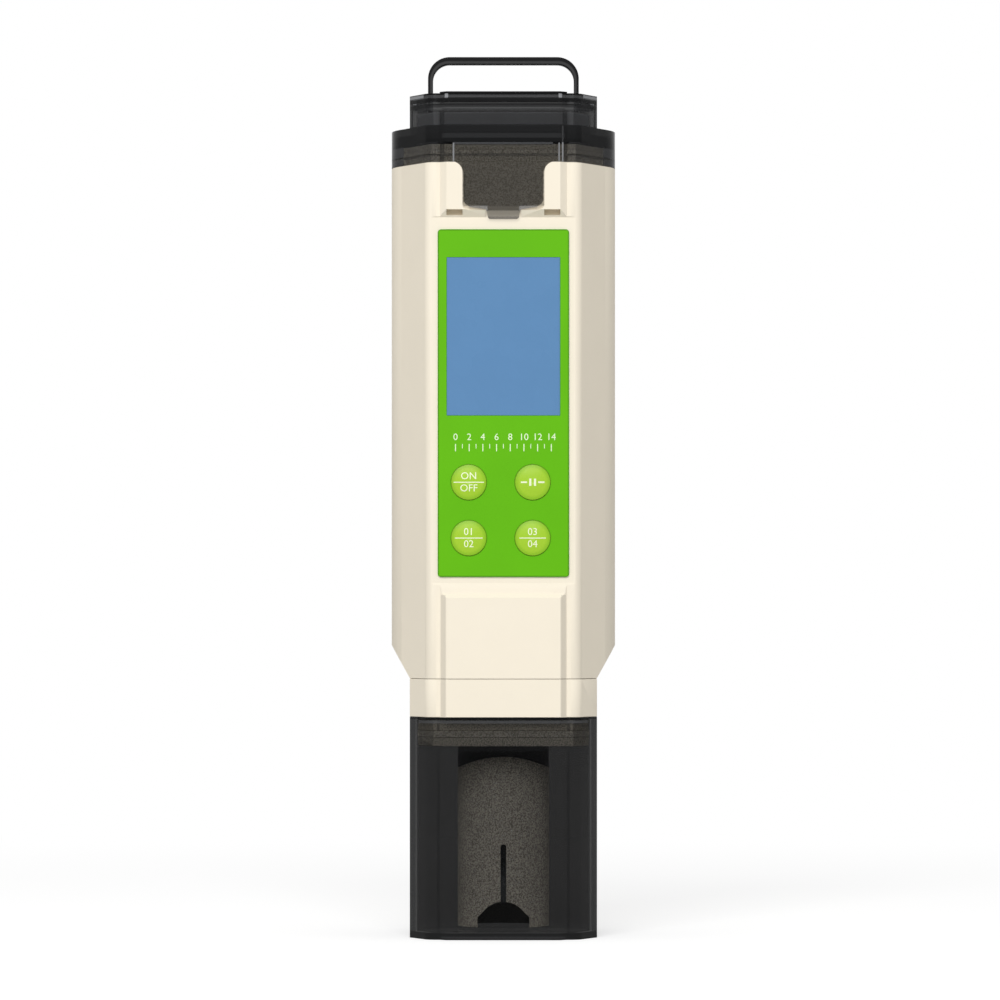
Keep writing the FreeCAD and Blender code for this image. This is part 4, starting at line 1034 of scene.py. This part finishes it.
@dataclass
class Keypad:
    """The four domed keys with their legends and the soft rings that close the gaps round them, a
    little darker than the film as painted shade round each key.
    """

    radius: float = 3.1 * MM
    gap: float = 0.15 * MM
    dome: float = 0.35 * MM
    line: float = 0.17 * MM
    type_size: float = 1.8 * MM
    line_gap: float = 1.08 * MM
    pause: Place = (0.38 * MM, 1.3 * MM)
    pause_apart: float = 1.1
    dash: Place = (1.1 * MM, 0.3 * MM)
    dash_apart: float = 2.6
    ring_fill: float = 0.46
    ring_sink: float = 1.2
    ring_sides: int = 10
    ring_steps: int = 72
    keys: dict[str, Key] = field(
        default_factory=lambda: {
            "power": Key(Body.POWER, Legend.POWER, 5.4 * MM),
            "hold": Key(Body.HOLD, Legend.HOLD),
            "mode": Key(Body.MODE, Legend.MODE, 4.9 * MM),
            "unit": Key(Body.UNIT, Legend.UNIT, 4.7 * MM),
        }
    )

    def centre(self, key: str) -> Place:
        """The middle of a key, across and up."""
        low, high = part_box("button_" + key)
        return (low.x + high.x) / 2, (low.z + high.z) / 2

    def face(self, key: str) -> Callable[[float, float], float]:
        """The height of a key's dome.

        Args:
            key: The key's name.

        Returns:
            A function from a place on the key to the depth of its face.
        """
        x0, z0 = self.centre(key)
        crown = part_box("button_" + key)[0].y
        ball = (self.radius**2 + self.dome**2) / (2 * self.dome)

        def depth(x: float, z: float) -> float:
            """The depth of the face at one place."""
            away = min((x - x0) ** 2 + (z - z0) ** 2, self.radius**2)
            return crown + ball - math.sqrt(ball**2 - away)

        return depth

    def build(self) -> None:
        """Makes the legends and the rings, and dresses the keys."""
        for name, key in self.keys.items():
            x, z = self.centre(name)
            stamp = Stamp(drape=self.face(name))
            if key.legend is Legend.HOLD:
                parts = [self.pause_mark(stamp, x, z)]
            else:
                over, under = key.legend.value
                parts = [
                    stamp.letters(over, self.type_size, x, z + self.line_gap),
                    stamp.letters(under, self.type_size, x, z - self.line_gap),
                    stamp.lines([((x, z), (key.divider, self.line))]),
                ]
            mesh = joined("legend_" + name, parts)
            add_piece("legend_" + name, mesh, KEY_INK, key.body)
            add_piece("ring_" + name, self.ring(x, z), SHADED_KEY_RING, Body.METER)
            finish = KeyTop("key_" + name, KEY, KEY_SHADED_RIM, (x, z), self.radius)
            dress(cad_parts["button_" + name], finish)

    def pause_mark(self, stamp: Stamp, x: float, z: float) -> bpy.types.Mesh:
        """Two upright bars between two dashes."""
        width = self.pause[0]
        apart = width * self.pause_apart
        reach = width * self.dash_apart + self.dash[0] / 2
        return stamp.lines(
            [
                ((x - apart, z), self.pause),
                ((x + apart, z), self.pause),
                ((x - reach, z), self.dash),
                ((x + reach, z), self.dash),
            ]
        )

    def ring(self, x: float, z: float) -> bpy.types.Mesh:
        """The soft ring in the gap round one key, just under the film's face."""
        tube = self.gap * self.ring_fill
        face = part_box("label_overlay")[0].y
        centre = Vector((x, face + tube * self.ring_sink, z))
        start = Matrix.Translation(centre + Vector((self.radius + self.gap / 2, 0, 0)))
        shape = bmesh.new()
        bmesh.ops.create_circle(shape, segments=self.ring_sides, radius=tube, matrix=start)
        bmesh.ops.spin(
            shape,
            geom=shape.verts[:] + shape.edges[:],
            cent=centre,
            axis=(0, 1, 0),
            angle=2 * math.pi,
            steps=self.ring_steps,
            use_merge=True,
        )
        return finish_mesh("ring", shape, smooth=True)


@dataclass
class PanelPrint:
    """The plain number scale printed on the green film."""

    height: float = 89.2 * MM
    width: float = 17.0 * MM
    numbers: tuple[int, ...] = (0, 2, 4, 6, 8, 10, 12, 14)
    type_size: float = 1.7 * MM
    tick: Place = (0.17 * MM, 1.3 * MM)
    short_tick: Place = (0.13 * MM, 0.8 * MM)
    tick_drop: float = 1.2 * MM

    def build(self) -> None:
        """Makes the scale."""
        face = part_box("label_overlay")[0].y
        stamp = Stamp(drape=lambda x, z: face)
        last = self.numbers[-1]
        parts = []
        ticks = []
        base = self.height - self.tick_drop
        for value in range(last + 1):
            x = (value / last - 0.5) * self.width
            size = self.tick if value in self.numbers else self.short_tick
            ticks.append(((x, base - size[1] / 2), size))
            if value in self.numbers:
                parts.append(stamp.letters(str(value), self.type_size, x, self.height))
        parts.append(stamp.lines(ticks))
        mesh = joined("panel_scale", parts)
        add_piece("panel_scale", mesh, INK, Body.METER)


@dataclass
class Housings:
    """Every solid's finish, and the softened edges of the shells, the caps and the film."""

    angle: float = 24.0
    segments: int = 2
    soft: dict[str, float] = field(
        default_factory=lambda: {
            "front_shell": 0.12 * MM,
            "rear_shell": 0.12 * MM,
            "neck_housing": 0.1 * MM,
            "battery_cap": 0.12 * MM,
            "probe_cap": 0.12 * MM,
            "label_overlay": 0.06 * MM,
        }
    )

    def build(self) -> None:
        """Dresses every solid and softens the moulded edges."""
        for finish, names in NODES_OF.items():
            for name in names:
                dress(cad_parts[name], finish)
        for name, width in self.soft.items():
            self.soften(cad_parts[name], width)

    def soften(self, thing: bpy.types.Object, width: float) -> None:
        """Rounds a solid's sharp edges a little, so that they catch the light.

        Args:
            thing: The solid's object.
            width: The width of the rounding.
        """
        weld = thing.modifiers.new("weld", "WELD")
        weld.merge_threshold = 1e-6
        bevel = thing.modifiers.new("soft_edges", "BEVEL")
        bevel.width = width
        bevel.segments = self.segments
        bevel.limit_method = "ANGLE"
        bevel.angle_limit = math.radians(self.angle)
        bevel.harden_normals = False
        LOG.info("%s: edges softened by %.2f mm", thing.name, width / MM)


# Camera, lights and floor


@dataclass
class Studio:
    """A level camera in front of the panel, one broad soft lamp and an even pale room."""

    distance: float = 1.0
    eye: float = 61.2 * MM
    focal: float = 199.4
    shift: Place = (-0.0034, 0.095)
    room: float = 0.475
    # How bright room and floor stay where seen through a smoked cap: painted shade inside the caps
    shade_behind_smoke: float = 0.137
    lamp_power: float = 9.9
    lamp_size: float = 0.7
    lamp_reach: float = 1.2
    lamp_aim: float = 80 * MM
    lamp_height: float = 30.0
    lamp_side: float = -7.0
    floor_radius: float = 6.0
    floor_grey: float = 0.62
    floor_roughness: float = 0.9
    floor_glow: float = 0.54
    floor_fade: Place = (0.12, 0.4)

    def build(self) -> None:
        """Makes the camera, the lamp, the room and the floor."""
        self.add_camera()
        self.add_lamp()
        self.add_room()
        self.add_floor()
        bpy.context.scene.view_settings.view_transform = "Standard"

    def add_camera(self) -> None:
        """Makes the camera."""
        data = bpy.data.cameras.new("camera")
        data.type = "PERSP"
        data.sensor_width = 36
        data.lens = self.focal
        data.shift_x, data.shift_y = self.shift
        data.clip_start, data.clip_end = 0.01, 100
        camera = bpy.data.objects.new("camera", data)
        camera.location = (0, -self.distance, self.eye)
        camera.rotation_euler = (math.pi / 2, 0, 0)
        bpy.context.scene.collection.objects.link(camera)
        bpy.context.scene.camera = camera

    def add_lamp(self) -> None:
        """Makes the soft lamp, up in front and a little to the left."""
        data = bpy.data.lights.new("soft_lamp", "AREA")
        data.shape = "SQUARE"
        data.size = self.lamp_size
        data.energy = self.lamp_power
        lamp = bpy.data.objects.new("soft_lamp", data)
        height, side = math.radians(self.lamp_height), math.radians(self.lamp_side)
        ahead = math.cos(height)
        way = Vector((math.sin(side) * ahead, -math.cos(side) * ahead, math.sin(height)))
        lamp.location = Vector((0, 0, self.lamp_aim)) + way * self.lamp_reach
        lamp.rotation_mode = "QUATERNION"
        lamp.rotation_quaternion = way.to_track_quat("Z", "Y")
        bpy.context.scene.collection.objects.link(lamp)

    def add_room(self) -> None:
        """Makes the world: white to the eye and in reflections, softer as light, and dimmed as
        painted shade where it is seen through a smoked cap.
        """
        world = bpy.data.worlds.new("pale_room")
        world.use_nodes = True
        bpy.context.scene.world = world
        graph = Graph(world.node_tree)
        background = graph.tree.nodes["Background"]
        seen = graph.towards(1.0, self.smoke(graph), self.shade_behind_smoke)
        graph.feed(background.inputs["Color"], (1.0, 1.0, 1.0))
        graph.feed(background.inputs["Strength"], self.seen_or_lit(graph, seen, self.room))

    @staticmethod
    def seen_or_lit(graph: Graph, seen: Value, lit: float) -> Socket:
        """A strength that differs for what is seen and for what lights the object.

        Args:
            graph: The node tree that gets the nodes.
            seen: The strength for camera, glossy and transmission rays.
            lit: The strength for the rest.

        Returns:
            The strength's output.
        """
        path = graph.node("LightPath").outputs
        shown = graph.reckon("MAXIMUM", path["Is Camera Ray"], path["Is Glossy Ray"])
        shown = graph.reckon("MAXIMUM", shown, path["Is Transmission Ray"])
        return graph.towards(lit, shown, seen)

    @staticmethod
    def smoke(graph: Graph) -> Socket:
        """1 for what is seen through a smoked cap and 0 elsewhere."""
        depth = graph.node("LightPath").outputs["Transparent Depth"]
        return graph.reckon("GREATER_THAN", depth, 0.5)

    def add_floor(self) -> None:
        """Makes the floor, which keeps the tester's shadow near it, fades into the room and is
        dimmed as painted shade where it is seen through a smoked cap.
        """
        shape = bmesh.new()
        bmesh.ops.create_circle(shape, cap_ends=True, segments=96, radius=self.floor_radius)
        floor = bpy.data.objects.new("floor", finish_mesh("floor", shape))
        bpy.context.scene.collection.objects.link(floor)
        surface = Surface("pale_floor")
        grey = self.floor_grey
        surface.shade(colour=(grey,) * 3, roughness=self.floor_roughness, specular=0.0)
        glow = surface.glow(self.seen_or_lit(surface, self.floor_glow, 0.0))
        near = surface.node("AddShader", surface.shader.outputs["BSDF"], glow).outputs["Shader"]
        far = surface.glow(self.seen_or_lit(surface, 1.0, self.room))
        away = surface.node("VectorMath", surface.place, operation="LENGTH").outputs["Value"]
        faded = surface.cross(surface.step(away, *self.floor_fade), near, far)
        loss = surface.reckon("MULTIPLY", self.smoke(surface), 1 - self.shade_behind_smoke)
        dimmed = surface.cross(loss, faded, surface.glow(0.0))
        surface.feed(surface.tree.nodes["Material Output"].inputs["Surface"], dimmed)
        floor.data.materials.append(surface.material)


def main() -> None:
    """Builds the tester's looks and the studio."""
    logging.basicConfig(level=logging.INFO, format="%(name)s: %(message)s")
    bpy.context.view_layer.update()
    Housings().build()
    Keypad().build()
    PanelPrint().build()
    Studio().build()
    bpy.context.view_layer.update()


if __name__ == "__main__":
    main()
